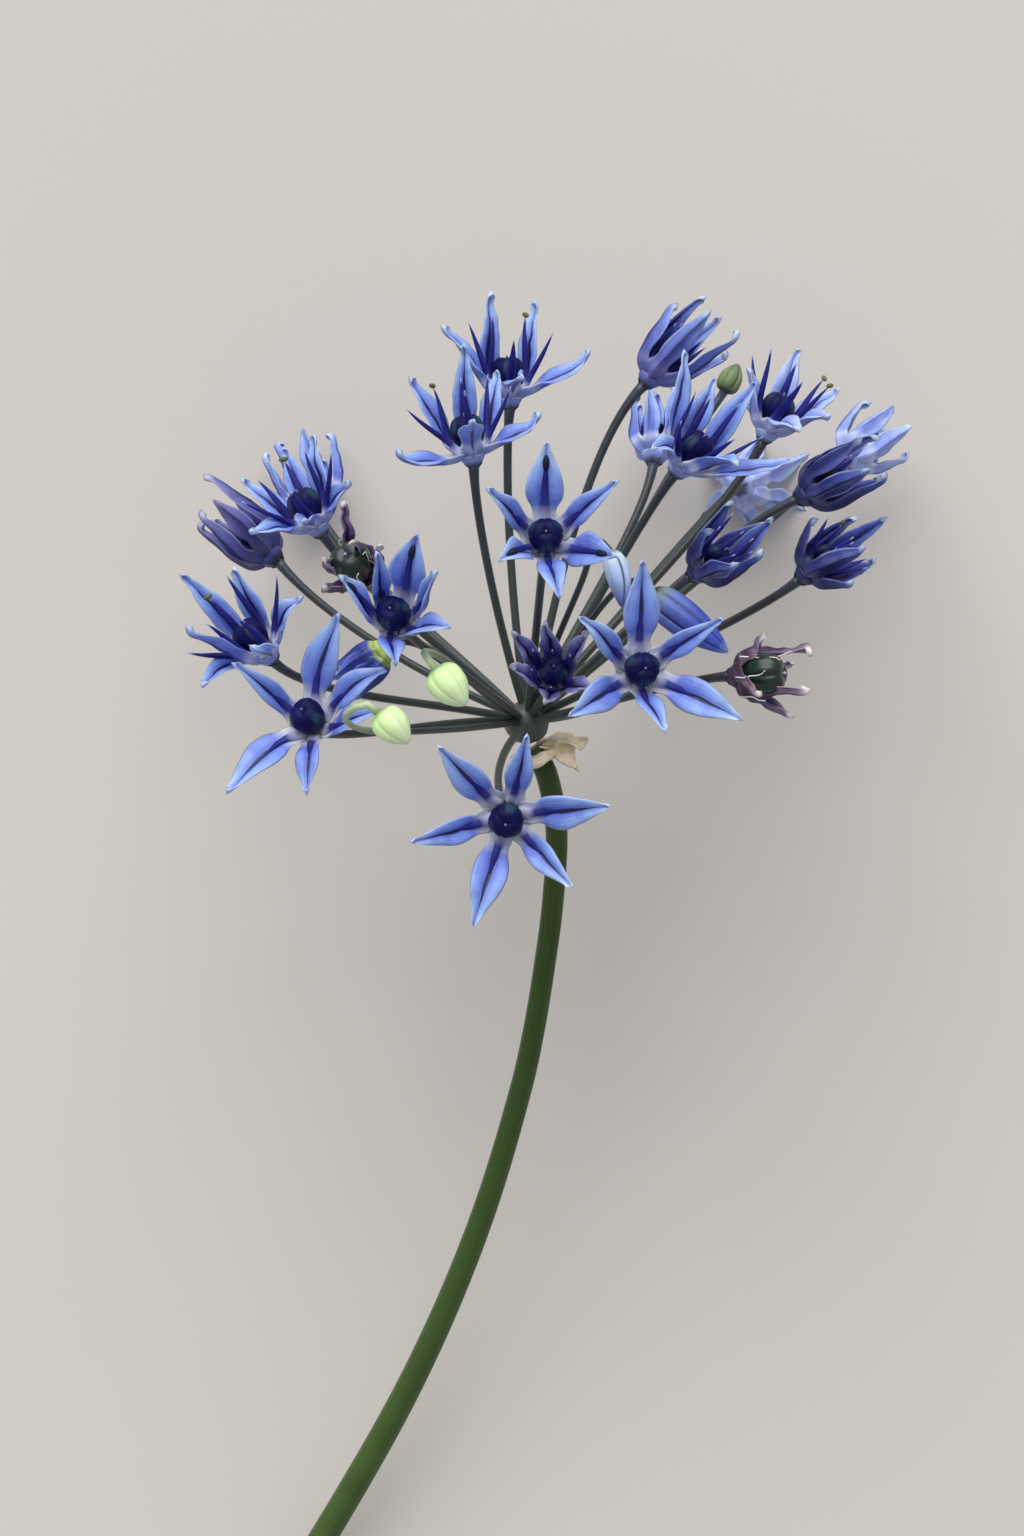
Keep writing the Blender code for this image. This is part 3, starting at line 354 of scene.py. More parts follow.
# The colours of each kind of tepal, in linear light: its root, its blade low down, at its middle
# and high up, its tip, its deep shade, its middle vein, and the foot that its stalk ends in.
TEPAL_COLOURS = {
    "blue": ((0.76, 0.79, 0.92), (0.18, 0.26, 0.76), (0.255, 0.38, 0.93), (0.38, 0.55, 0.98),
             (0.54, 0.69, 0.98), (0.052, 0.070, 0.47), (0.006, 0.008, 0.05), (0.08, 0.09, 0.16)),
    # Partly painted light: a lighter copy of the blue, raised to offset the shadow these florets lie
    # in.
    "pale": ((0.68, 0.72, 0.90), (0.30, 0.39, 0.90), (0.38, 0.50, 0.97), (0.52, 0.65, 0.98),
             (0.68, 0.80, 0.98), (0.17, 0.22, 0.72), (0.07, 0.08, 0.34), (0.10, 0.11, 0.22)),
    "lilac": ((0.22, 0.21, 0.36), (0.11, 0.145, 0.50), (0.16, 0.23, 0.70), (0.30, 0.41, 0.90),
              (0.64, 0.76, 0.94), (0.04, 0.042, 0.24), (0.008, 0.009, 0.050), (0.04, 0.04, 0.07)),
    "mauve": ((0.035, 0.035, 0.08), (0.055, 0.060, 0.24), (0.12, 0.13, 0.44), (0.30, 0.30, 0.66),
              (0.62, 0.60, 0.82), (0.02, 0.016, 0.10), (0.008, 0.008, 0.030), (0.02, 0.025, 0.03)),
    # Painted shade: a darker copy of the blue, its cup dark too, for florets that lie in shade.
    "dusk": ((0.05, 0.06, 0.18), (0.024, 0.033, 0.17), (0.04, 0.058, 0.28), (0.11, 0.155, 0.48),
             (0.52, 0.64, 0.86), (0.010, 0.014, 0.10), (0.003, 0.003, 0.018), (0.02, 0.025, 0.05)),
    "nodding": ((0.06, 0.10, 0.34), (0.040, 0.06, 0.38), (0.065, 0.10, 0.56), (0.13, 0.20, 0.74),
                (0.40, 0.54, 0.86), (0.02, 0.025, 0.18), (0.006, 0.008, 0.04), (0.42, 0.56, 0.12)),
    "faded": ((0.24, 0.22, 0.44), (0.12, 0.11, 0.36), (0.20, 0.195, 0.50), (0.38, 0.40, 0.72),
              (0.62, 0.66, 0.84), (0.06, 0.052, 0.19), (0.015, 0.013, 0.05), (0.03, 0.03, 0.07)),
    "shrivelled": ((0.05, 0.03, 0.06), (0.07, 0.038, 0.08), (0.15, 0.085, 0.15), (0.38, 0.27, 0.36),
                   (0.86, 0.80, 0.80), (0.05, 0.02, 0.05), (0.03, 0.012, 0.03), (0.05, 0.03, 0.05)),
    "blue bud": ((0.16, 0.22, 0.20), (0.12, 0.18, 0.50), (0.055, 0.085, 0.46), (0.06, 0.10, 0.52),
                 (0.26, 0.36, 0.76), (0.02, 0.028, 0.20), (0.004, 0.005, 0.035), (0.02, 0.035, 0.025)),
    "pale bud": ((0.60, 0.74, 0.84), (0.62, 0.76, 0.96), (0.50, 0.64, 0.92), (0.14, 0.19, 0.54),
                 (0.07, 0.09, 0.34), (0.20, 0.27, 0.60), (0.02, 0.03, 0.10), (0.20, 0.26, 0.20)),
    "green bud": ((0.56, 0.78, 0.34), (0.72, 0.98, 0.46), (0.80, 0.99, 0.56), (0.82, 0.99, 0.60),
                  (0.80, 0.94, 0.66), (0.66, 0.92, 0.42), (0.60, 0.85, 0.42), (0.30, 0.42, 0.18)),
    "olive bud": ((0.16, 0.22, 0.10), (0.17, 0.24, 0.10), (0.20, 0.28, 0.13), (0.16, 0.22, 0.14),
                  (0.08, 0.10, 0.12), (0.09, 0.13, 0.06), (0.06, 0.09, 0.05), (0.06, 0.08, 0.05)),
}
BLADE_STOPS = (0.03, 0.19, 0.32, 0.54, 0.86, 0.96)
BUD_STOPS = (0.04, 0.1, 0.22, 0.5, 0.84, 0.97)
FINE_LINES = 60.0
MARK_EDGE = 0.1
BUMP = 0.03 * MM
PAPER_BUMP = 0.08 * MM


# Curves.
def between(table, where):
    """The value that a table of (place, value) pairs has at where, by straight lines."""
    for (low, before), (high, after) in zip(table, table[1:]):
        if where <= high:
            return before + (after - before) * (where - low) / (high - low)
    return table[-1][1]


def smooth(table, where):
    """The value that a table of (place, value) pairs has at where, by a smooth curve."""
    ends = (table[0], *table, table[-1])
    for before, low, high, after in zip(ends, ends[1:], ends[2:], ends[3:]):
        if where <= high[0] and low[0] < high[0]:
            break
    span = high[0] - low[0]
    t = min(max((where - low[0]) / span, 0), 1)
    leave = (high[1] - before[1]) / max(high[0] - before[0], span) * span
    arrive = (after[1] - low[1]) / max(after[0] - low[0], span) * span
    rise = high[1] - low[1]
    return low[1] + leave * t + (3 * rise - 2 * leave - arrive) * t ** 2 + (
        leave + arrive - 2 * rise) * t ** 3


def shares(count):
    """That many shares of a length, from 0 to 1."""
    return [step / (count - 1) for step in range(count)]


def ease(low, high, where):
    """0 below low, 1 above high, and a soft step between them."""
    t = min(max((where - low) / (high - low), 0), 1)
    return t * t * (3 - 2 * t)


def bezier(points, t):
    """The point at t on the cubic with these four control points, and the direction there."""
    a, b, c, d = points
    u = 1 - t
    place = a * u ** 3 + b * 3 * t * u * u + c * 3 * t * t * u + d * t ** 3
    along = (b - a) * (u * u) + (c - b) * (2 * t * u) + (d - c) * (t * t)
    return place, along.normalized()


def through(points, count):
    """count points spread evenly along a smooth curve through the given ones."""
    ends = [points[0] * 2 - points[1], *points, points[-1] * 2 - points[-2]]
    fine = []
    for a, b, c, d in zip(ends, ends[1:], ends[2:], ends[3:]):
        for step in range(ROUTE_STEPS):
            t = step / ROUTE_STEPS
            fine.append(((b * 2) + (c - a) * t + (a * 2 - b * 5 + c * 4 - d) * t * t
                         + (b * 3 - a - c * 3 + d) * t ** 3) / 2)
    fine.append(points[-1].copy())
    reach = [0.0]
    for first, second in zip(fine, fine[1:]):
        reach.append(reach[-1] + (second - first).length)
    table = list(zip(reach, fine))
    return [between(table, reach[-1] * share) for share in shares(count)]


def across(direction):
    """Two unit vectors square to a direction and to each other."""
    helper = Vector((0, 0, 1)) if abs(direction.z) < 0.9 else Vector((1, 0, 0))
    side = direction.cross(helper).normalized()
    return side, direction.cross(side).normalized()


def wobbled(point, strength, size):
    """A point shifted smoothly, for surfaces that aren't quite regular, in lumps of a size."""
    return point + noise.noise_vector(point / size) * strength


def marked(first=None, second=None, tone=0.5):
    """Marks for a round solid: its share of the length and its turn, but for those given."""
    def mark(share, turn):
        return (share if first is None else first, turn if second is None else second, tone, 0)

    return mark


def ribbed(count, depth, middle=1.0):
    """The width of a round solid that has so many ribs round it."""
    def shape(turn, share):
        return middle + depth * cos(2 * pi * count * turn), 0

    return shape


# Meshes.
class Shell:
    """The points, faces and marks of a piece in the making. A mark is four numbers a point."""

    def __init__(self):
        self.points = []
        self.marks = []
        self.faces = []

    def ring(self, points, marks):
        first = len(self.points)
        self.points += [Vector(point) for point in points]
        self.marks += marks
        return list(range(first, len(self.points)))

    def bridge(self, low, high):
        for index in range(len(low)):
            after = (index + 1) % len(low)
            self.faces.append((low[index], low[after], high[after], high[index]))

    def close(self, ring, point, mark):
        """Closes a ring with a fan of faces to one point."""
        tip = self.ring([point], [mark])[0]
        for index in range(len(ring)):
            self.faces.append((ring[index], ring[(index + 1) % len(ring)], tip))

    def loft(self, rings, marks):
        """A closed solid through rings of points, its ends closed at their middles."""
        rows = [self.ring(ring, mark) for ring, mark in zip(rings, marks)]
        for low, high in zip(rows, rows[1:]):
            self.bridge(low, high)
        for row, ring, mark in ((rows[0], rings[0], marks[0]), (rows[-1], rings[-1], marks[-1])):
            middle = sum(ring, Vector()) / len(ring)
            self.close(row, middle, mark[0])

    def rounds(self, frames, sides, mark, shape):
        """A closed solid of round rings, each with its middle, axis, first spoke and radius.

        mark(share, turn) gives each point's mark. shape(turn, share) gives how wide it stands, and
        how far it is shifted along the axis.
        """
        rings = []
        marks = []
        for share, (middle, axis, side, radius) in zip(shares(len(frames)), frames):
            other = axis.cross(side)
            ring = []
            row = []
            for step in range(sides):
                turn = step / sides
                angle = 2 * pi * turn
                wide, lift = shape(turn, share) if shape else (1, 0)
                spoke = side * cos(angle) + other * sin(angle)
                ring.append(middle + axis * lift + spoke * (radius * wide))
                row.append(mark(share, turn))
            rings.append(ring)
            marks.append(row)
        self.loft(rings, marks)

    def tube(self, points, radii, sides, mark, shape=None):
        """A round solid along points."""
        frames = []
        side = None
        for index, point in enumerate(points):
            before = points[max(index - 1, 0)]
            after = points[min(index + 1, len(points) - 1)]
            along = (after - before).normalized()
            if side is None:
                side = across(along)[0]
            side = (side - along * side.dot(along)).normalized()
            frames.append((point, along, side, radii[index]))
        self.rounds(frames, sides, mark, shape)

    def turned(self, base, axis, profile, sides, mark, shape=None, side=None):
        """A solid turned about an axis from (height, radius) pairs."""
        side = side or across(axis)[0]
        frames = [(base + axis * height, axis, side, radius) for height, radius in profile]
        self.rounds(frames, sides, mark, shape)


def piece(name, shell, look, slot, *nodes):
    """The finished piece that stands for those nodes of the frame."""
    data = bpy.data.meshes.new(name)
    data.from_pydata([tuple(point * MM) for point in shell.points], [], shell.faces)
    place = data.color_attributes.new("place", "FLOAT_COLOR", "POINT")
    place.data.foreach_set("color", [value for mark in shell.marks for value in mark])
    mesh = bmesh.new()
    mesh.from_mesh(data)
    bmesh.ops.recalc_face_normals(mesh, faces=mesh.faces)
    mesh.to_mesh(data)
    mesh.free()
    data.shade_smooth()
    data.materials.append(look)
    made = bpy.data.objects.new(name, data)
    bpy.context.scene.collection.objects.link(made)
    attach(made, "root")
    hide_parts(*nodes)
    return made


# Tepals.
class Tip(NamedTuple):
    """Where a tepal ends, measured from its seat, how it gets there, and its place in the table."""

    place: Vector
    curl: float
    leave: float
    breadth: float
    order: int


def tip_of(given, kind, order=0):
    """The tip from its row in the table, with the kind's own curl and leave where it has none."""
    x, y, z, breadth, curl, leave = (*given, None, None, None)[:6]
    return Tip(Vector((x, y, z)), kind.curl if curl is None else curl,
               kind.leave if leave is None else leave, breadth or 1, order)


class Blade:
    """The curved middle line of a tepal or lobe, with the frame that its blade is built on."""

    def __init__(self, seat, axis, spoke, tip, kind, draw):
        self.axis = axis
        self.spoke = spoke
        self.root = seat + axis * TEPAL_ROOT[0] + spoke * TEPAL_ROOT[1]
        self.tip = seat + tip.place
        outward = (tip.place - axis * tip.place.dot(axis)).normalized() + spoke
        self.outward = outward.normalized()
        chord = self.tip - self.root
        inward = chord.cross(axis.cross(self.outward)).normalized()
        leave = radians(tip.leave + draw.uniform(-LEAVE_SPREAD, LEAVE_SPREAD))
        curl = radians(tip.curl + draw.uniform(-CURL_SPREAD, CURL_SPREAD))
        reach = chord.length * TEPAL_REACH
        first = axis * cos(leave) + spoke * sin(leave)
        last = chord.normalized() * cos(curl) - inward * sin(curl)
        self.curve = (self.root, self.root + first * reach, self.tip - last * reach, self.tip)
        foot = seat + axis * TEPAL_FOOT[0] + spoke * TEPAL_FOOT[1]
        self.foot = (foot, foot + spoke * FOOT_LEAVE[0] + axis * FOOT_LEAVE[1],
                     self.root - first * FOOT_ARRIVE, self.root)
        self.twist = radians(kind.twist * draw.uniform(-1, 1))
        self.width = kind.width * draw.uniform(1 - WIDTH_SPREAD, 1 + WIDTH_SPREAD)
        self.width *= tip.breadth
        self.length = chord.length
        self.order = tip.order
        self.tone = draw.random()
        self.phase = draw.uniform(0, 2 * pi)
        self.hook = radians(draw.uniform(*kind.hook))
        self.upturn = kind.upturn

    def frame(self, t):
        """Place, direction, side and inner normal at t, from 0 at the root to 1 at the tip.

        Below 0 the blade runs down the wall of the cup, and near the tip it curls in.
        """
        if t < 0:
            place, along = bezier(self.foot, 1 + t / FOOT_SPAN)
        else:
            place, along = bezier(self.curve, min(t, HOOK_START))
        share = max(t, 0)
        spoke = self.spoke.lerp(self.outward, share).normalized()
        side = self.axis.cross(spoke)
        inner = along.cross(side).normalized()
        inner.rotate(Matrix.Rotation(self.twist * share, 3, along))
        if self.upturn:
            up = (UP - along * UP.dot(along)).normalized()
            turned = self.upturn * ease(*UPTURN_SPAN, t) * (1 - inner.dot(up) ** 2)
            inner = inner.lerp(up, turned).normalized()
        if t > HOOK_START:
            turn = self.hook * (t - HOOK_START) / (1 - HOOK_START)
            radius = self.length * (1 - HOOK_START) / self.hook
            place = place + along * (radius * sin(turn)) + inner * (radius * (1 - cos(turn)))
            ahead = along * cos(turn) + inner * sin(turn)
            inner = inner * cos(turn) - along * sin(turn)
            along = ahead
        return place, along, inner.cross(along), inner

    def breadth(self, t):
        """The blade's width at t: first its share of the cup, then its own, then its round tip."""
        flat = self.width * smooth(TEPAL_OUTLINE, max(t, 0))
        base = smooth(BASE_WIDTH, t)
        wide = max(base + (flat - base) * ease(*BASE_SPAN, t), TIP_WIDTH)
        if t > TIP_START:
            wide *= sqrt(max(TIP_LEAST, 1 - ((t - TIP_START) / (1 - TIP_START)) ** 2))
        return wide

    def face(self, t, s):
        """The height of the inner face over the middle line, at s from -1 to 1 across it."""
        flat = ease(*FLAT_SPAN, t)
        share = smooth(TEPAL_OUTLINE, max(t, 0)) * flat
        flank = FOLD * abs(s) ** FOLD_POWER + PILLOW * sin(pi * abs(s))
        offset = WAVE_OFFSET if s > 0 else 0
        wave = WAVE * s * s * sin(WAVE_TURNS * t + self.phase + offset)
        hood = TIP_HOOD * ease(*HOOD_SPAN, t) * s * s
        return share * (flank + wave) + CUP_DISH * (1 - flat) * s * s + hood

    def add(self, shell, crumple=0.0):
        """Adds the blade's inner and outer face, joined at their margins, to a shell."""
        steps = [index / TEPAL_HALF - 1 for index in range(2 * TEPAL_HALF + 1)]
        stations = [-FOOT_SPAN * (1 - index / FOOT_STATIONS) for index in range(FOOT_STATIONS)]
        for u in shares(TEPAL_STATIONS):
            stations.append((1 - TIP_CROWD) * u + TIP_CROWD * sin(pi * u / 2))
        rows = []
        for t in stations:
            place, _, side, inner = self.frame(t)
            half = self.breadth(t) / 2
            tip = ease(*TIP_SPAN, t)
            foot = FOOT_THIN + (1 - FOOT_THIN) * ease(*FOOT_THIN_SPAN, t)
            ring = []
            marks = []
            for s in steps:
                ring.append(place + side * (half * s) + inner * self.face(t, s))
                marks.append((t, 0.5 + 0.5 * s, self.tone, 1))
            for s in reversed(steps[1:-1]):
                thick = MARGIN_THICK + KEEL_THICK * exp(-((s / KEEL_WIDTH) ** 2))
                thick *= (1 - THICK_TAPER * t) * foot
                thick = thick * (1 - tip) + TIP_THICK * sqrt(1 - s * s) * tip
                ring.append(place + side * (half * s) + inner * (self.face(t, s) - thick))
                marks.append((t, 0.5 + 0.5 * s, self.tone, 0))
            crinkle = CRINKLE[0] * ease(*CRINKLE_SPAN, t)
            ring = [wobbled(point, crinkle, CRINKLE[1]) for point in ring]
            if crumple:
                shift = crumple * ease(*CRUMPLE_SPAN, t)
                ring = [wobbled(point, shift, CRUMPLE_SIZE) for point in ring]
            rows.append(shell.ring(ring, marks))
        for low, high in zip(rows, rows[1:]):
            shell.bridge(low, high)
        for row, end in ((rows[0], 0), (rows[-1], -1)):
            middle = sum((shell.points[index] for index in row), Vector()) / len(row)
            shell.close(row, middle, shell.marks[row[0]])


def azimuth_order(axis, tips):
    """The tips in their order round the axis, and the even spacing that suits them best."""
    side, other = across(axis)

    def azimuth(tip):
        return atan2(tip.place.dot(other), tip.place.dot(side))

    ordered = sorted(tips, key=azimuth)
    sixth = 2 * pi / len(ordered)
    offsets = [azimuth(tip) - sixth * index for index, tip in enumerate(ordered)]
    roll = atan2(sum(map(sin, offsets)), sum(map(cos, offsets)))
    spokes = []
    for index in range(len(ordered)):
        angle = roll + sixth * index
        spokes.append(side * cos(angle) + other * sin(angle))
    return list(zip(spokes, ordered))


def blades_of(floret, seat):
    """The floret's six tepals, its azimuths shared out evenly where they leave the cup."""
    axis = Vector(floret.facing).normalized()
    kind = KINDS[floret.kind]
    draw = random.Random(f"{SEED} {floret.name}")
    tips = [tip_of(tip, kind, order) for order, tip in enumerate(floret.tips)]
    found = []
    for spoke, tip in azimuth_order(axis, tips):
        found.append(Blade(seat, axis, spoke, tip, kind, draw))
    return found


def keep_on_table(shell):
    """Lifts what would reach into the table on to it, as soft tissue that lies there flattens."""
    floor = TABLE_SKIN - HUB.z
    for point in shell.points:
        point.z = max(point.z, floor)


def at_hub(shell):
    """Moves a shell that was built round the hub to the hub's place."""
    keep_on_table(shell)
    shell.points = [point + HUB for point in shell.points]
    return shell


def perianth(floret, blades, seat):
    """The cup, with a soft rib under each tepal, and the six tepals that its wall runs into."""
    shell = Shell()

    def mark(share, turn):
        start, rise, end = CUP_MARKS
        return (min(start + rise * share, end), 0.25, 0.5, 0 if share < CUP_RIM else 1)

    ribs = ribbed(len(blades), CUP_RIB)
    shell.turned(seat, blades[0].axis, CUP_PROFILE, CUP_SIDES, mark, ribs, blades[0].spoke)
    for blade in blades:
        blade.add(shell, KINDS[floret.kind].crumple)
    return shell


# Stamens and pistils.
def filament(blade, seat, kind, lean, lying_end):
    """One filament's curve: lying in its tepal's groove, or raised towards the axis by lean."""
    axis = blade.axis
    root = seat + axis * FILAMENT_ROOT[0] + blade.spoke * (FILAMENT_ROOT[1] * kind.ovary)
    if lean == 0:
        middle, _, _, inner = blade.frame(LYING_MIDDLE)
        end, along, _, end_inner = blade.frame(lying_end)
        end = end + end_inner * LYING_LIFT
        return root, middle + inner * LYING_RISE, end - along, end
    opening = max(LEAST_OPENING, (blade.tip - seat).angle(axis) * (1 - lean))
    aim = axis * cos(opening) + blade.outward * sin(opening)
    end = seat + aim * kind.filament
    leave = root + blade.spoke * (ERECT_LEAVE[0] * kind.ovary) + axis * ERECT_LEAVE[1]
    arriving = (aim + axis * ERECT_BEND).normalized()
    return root, leave, end - arriving * (kind.filament * ERECT_REACH), end


def add_filament(shell, curve, blade, widths, pale, tone):
    """A flat filament that tapers from its broad base, which is pale over a share of it."""
    rings = []
    marks = []
    for t in shares(FILAMENT_STEPS):
        place, along = bezier(curve, t)
        side = blade.axis.cross(blade.spoke)
        inner = along.cross(side).normalized()
        side = inner.cross(along)
        wide = smooth(widths, t) / 2
        thick = max(wide * FILAMENT_FLAT, FILAMENT_LEAST)
        ring = []
        for corner in range(FILAMENT_SIDES):
            angle = 2 * pi * corner / FILAMENT_SIDES
            ring.append(place + side * (wide * cos(angle)) + inner * (thick * sin(angle)))
        rings.append(ring)
        marks.append([(t * pale, 0.5, tone, 1)] * FILAMENT_SIDES)
    shell.loft(rings, marks)


def add_anther(shell, middle, along, size, first):
    """A spindle-shaped anther, along a direction."""
    length, radius = size
    points = []
    radii = []
    for share in shares(ANTHER_STEPS):
        points.append(middle + along * (length * (share - 0.5)))
        radii.append(radius * sqrt(max(ANTHER_END, 1 - (2 * share - 1) ** 2)))
    shell.tube(points, radii, ANTHER_SIDES, marked(first))


def add_thread(shell, start, end, draw):
    """A withered filament: a pale thread that wanders from start to end."""
    points = []
    radii = []
    for step in range(THREAD_STEPS):
        t = step / (THREAD_STEPS - 1)
        point = start.lerp(end, t)
        jolt = Vector((draw.random(), 0, 0)) * THREAD_START
        wander, size = THREAD_WANDER
        points.append(wobbled(point + jolt, wander * t, size) - jolt)
        radii.append(THREAD_RADIUS * (1 - 0.5 * step / THREAD_STEPS))
    shell.tube(points, radii, THREAD_SIDES, marked(THREAD_MARK, 0.5))


def pistil(floret, seat, blades):
    """The lobed ovary with its style, and the filaments that stand round it."""
    kind = KINDS[floret.kind]
    axis = blades[0].axis
    size = kind.ovary
    shell = Shell()
    centre = seat + axis * (OVARY_HEIGHT + max(0, size - 1.0))
    ripe = floret.kind == "capsule"
    deep = RIPE_FURROW if ripe else FURROW

    def lobes(turn, share):
        three = abs(cos(3 * pi * turn)) ** 0.5
        six = abs(cos(6 * pi * turn)) ** 0.5
        return 1 - deep * (1 - three) - LESSER_FURROW * (1 - six), LOBE_LIFT * (three - 0.5)

    def skin(share, turn):
        return (OVARY_MARK, share, turn, 0)

    profile = [(height * size, radius * size) for height, radius in OVARY_PROFILE]
    shell.turned(centre, axis, profile, OVARY_SIDES, skin, lobes, blades[0].spoke)
    top = centre + axis * (STYLE_ROOT * size)
    style = [top + axis * (STYLE_LENGTH * step / STYLE_STEPS) for step in range(STYLE_STEPS + 1)]
    radii = [STYLE_RADIUS * size] * STYLE_STEPS + [STYLE_RADIUS * STYLE_TIP]
    shell.tube(style, radii, STYLE_SIDES, marked(STYLE_MARK))
    draw = random.Random(f"{SEED} {floret.name} filaments")
    if ripe:
        for blade in blades:
            start = seat + axis * FILAMENT_ROOT[0] + blade.spoke * (THREAD_ROOT * size)
            reach = axis * draw.uniform(*THREAD_UP) + blade.spoke * draw.uniform(*THREAD_OUT)
            add_thread(shell, start, seat + reach, draw)
        return shell
    for blade in blades:
        has_anther = blade.order in floret.anthers
        length = draw.uniform(*FILAMENT_SPREAD)
        tone = draw.random()
        lying = floret.lean == 0
        curve = filament(blade, seat, kind._replace(filament=kind.filament * length), floret.lean,
                         LYING_ENDS[has_anther])
        widths, pale = (LYING_WIDTH, LYING_PALE) if lying else (ERECT_WIDTH, 1)
        add_filament(shell, curve, blade, widths, pale, tone)
        if has_anther:
            end, along = bezier(curve, 1)
            if lying:
                add_anther(shell, end - along * LYING_BACK, along, LYING_ANTHER, LYING_MARK)
            else:
                crosswise = along.cross(blade.spoke).normalized()
                tilted = (crosswise + along * ERECT_TILT).normalized()
                add_anther(shell, end, tilted, ERECT_ANTHER, ERECT_MARK)
    return shell


# Stalks and buds.
def stalk_to(end, arriving, bow):
    """The points of a stalk from the hub, arriving at its floret along the floret's axis."""
    start = end.normalized() * STALK_START
    length = (end - start).length
    bowed = Vector(bow) * STALK_LEAVE
    leave = start.lerp((start + end) / 2, STALK_LEAVE) + bowed
    arrive = end - arriving * (length * STALK_ARRIVE) + bowed
    curve = (start, leave, arrive, end)
    return [bezier(curve, share)[0] for share in shares(STALK_STEPS)]


def add_stalk(shell, points, tone, slender=1.0):
    """A ribbed stalk along points, a little wider at its floret."""
    radii = [slender * smooth(STALK_RADII, share) for share in shares(len(points))]
    shell.tube(points, radii, STALK_SIDES, marked(tone=tone), ribbed(*STALK_RIBS))


def make_stalks(looks):
    """The hub and every stalk that springs from it."""
    shell = Shell()
    latitudes = [radians(angle) for angle in range(-75, 76, 15)]
    profile = [(HUB_RADIUS * sin(a), HUB_RADIUS * cos(a)) for a in latitudes]
    shell.turned(Vector(), Vector((0, 1, 0)), profile, HUB_SIDES, marked(0, tone=HUB_TONE))
    shell.points = [wobbled(point, *HUB_LUMPS) for point in shell.points]
    draw = random.Random(SEED)
    for floret in FLORETS:
        axis = Vector(floret.facing).normalized()
        end = Vector(floret.seat) + axis * STALK_END
        add_stalk(shell, stalk_to(end, axis, floret.bow), draw.random())
    for bud in BUDS:
        axis = Vector(bud.pointing).normalized()
        end = Vector(bud.seat) - axis * BUD_GAP
        route = [Vector(point) for point in bud.route]
        start = route[0].normalized() * STALK_START
        tone = PALE_TONE if bud.look == "green bud" else draw.random()
        add_stalk(shell, through([start, *route, end], STALK_STEPS), tone, BUD_STALK)
    piece("flower_stalks", at_hub(shell), looks["stalk"], "stalk_green", "stalks")


def make_bud(bud, looks):
    """A closed bud: three outer tepals that half cover three inner ones. A pale one bends."""
    axis = Vector(bud.pointing).normalized()
    seat = Vector(bud.seat)
    bend = PALE_BEND if bud.look == "pale bud" else Vector()
    lobes = 3 if bud.look == "pale bud" else 6
    deep = 0.1 if "green" in bud.look else 0.2
    shell = Shell()
    points = []
    radii = []
    for t in shares(BUD_STEPS):
        height = BUD_START + (1 - BUD_START) * (1 - (1 - t) ** BUD_CROWD)
        points.append(seat + axis * (height * bud.length) + bend * (max(height, 0) ** 2))
        radii.append(bud.radius * smooth(BUD_PROFILE, height))

    def wrapped(turn, share):
        sector = (turn * lobes) % 1
        return 1 + deep * (sin(pi * sector) ** 0.5 - BUD_LOBE_MIDDLE), 0

    def mark(share, turn):
        return (share, 0.5 + abs((turn * lobes) % 1 - 0.5), 0.4, 0)

    shell.tube(points, radii, BUD_SIDES, mark, wrapped)
    slots = {"blue bud": "tepal_blue", "pale bud": "bud_pale_blue", "green bud": "bud_green",
             "olive bud": "bud_green"}
    piece(bud.name, at_hub(shell), looks[bud.look], slots[bud.look], bud.name + "_bud")


# Scape and spathe.
def make_scape(looks):
    """The leafless stem, from just under the hub to its cut end on the table."""
    points = through([Vector(point) for point in SCAPE_ROUTE], SCAPE_RINGS)
    radii = [smooth(SCAPE_RADII, share) for share in shares(SCAPE_RINGS)]
    shell = Shell()
    shell.tube(points, radii, SCAPE_SIDES, marked(), ribbed(*SCAPE_RIBS))
    piece("flower_scape", at_hub(shell), looks["scape"], "scape_green", "scape")


def make_spathe(looks):
    """The papery collar under the hub with its two shrivelled lobes."""
    points = through([Vector(point) for point in SCAPE_ROUTE], 24)
    axis = (points[0] - points[1]).normalized()
    inner, outer = SPATHE_RING
    base = points[0] - axis * (SPATHE_HEIGHT + SPATHE_DROP)
    shell = Shell()
    wall = ((0, inner), (-0.1, (inner + outer) / 2), (0.02, outer), (0.2, outer * 0.97),
            (0.4, outer * 0.95), (SPATHE_HEIGHT, outer * 0.9), (SPATHE_HEIGHT - 0.1, inner))
    shell.turned(base, axis, wall, SPATHE_SIDES, marked(0.5))
    draw = random.Random(SEED)
    for tip in SPATHE_LOBES:
        reach = Vector(tip) - base
        spoke = (reach - axis * reach.dot(axis)).normalized()
        blade = Blade(base, axis, spoke, tip_of(reach, SPATHE_KIND), SPATHE_KIND, draw)
        blade.add(shell, SPATHE_CRUMPLE)
    shell.points = [wobbled(point, *SPATHE_LUMPS) for point in shell.points]
    piece("papery_spathe", at_hub(shell), looks["papery"], "papery_tan", "spathe")


def make_floret(floret, looks):
    """A floret's two pieces: its cup and tepals, and what stands in them."""
    seat = Vector(floret.seat)
    blades = blades_of(floret, seat)
    kind = KINDS[floret.kind]
    tepals = perianth(floret, blades, seat)
    tepal_slot = "tepal_violet" if floret.kind in ("faded", "capsule") else "tepal_blue"
    piece(floret.name + "_bloom", at_hub(tepals), looks[floret.look or kind.look], tepal_slot,
          floret.name + "_tepals")
    heart = pistil(floret, seat, blades)
    fruit = floret.kind == "capsule"
    piece(floret.name + "_heart", at_hub(heart), looks["fruit" if fruit else "heart"],
          "fruit_green" if fruit else "pistil_navy", floret.name + "_pistil")


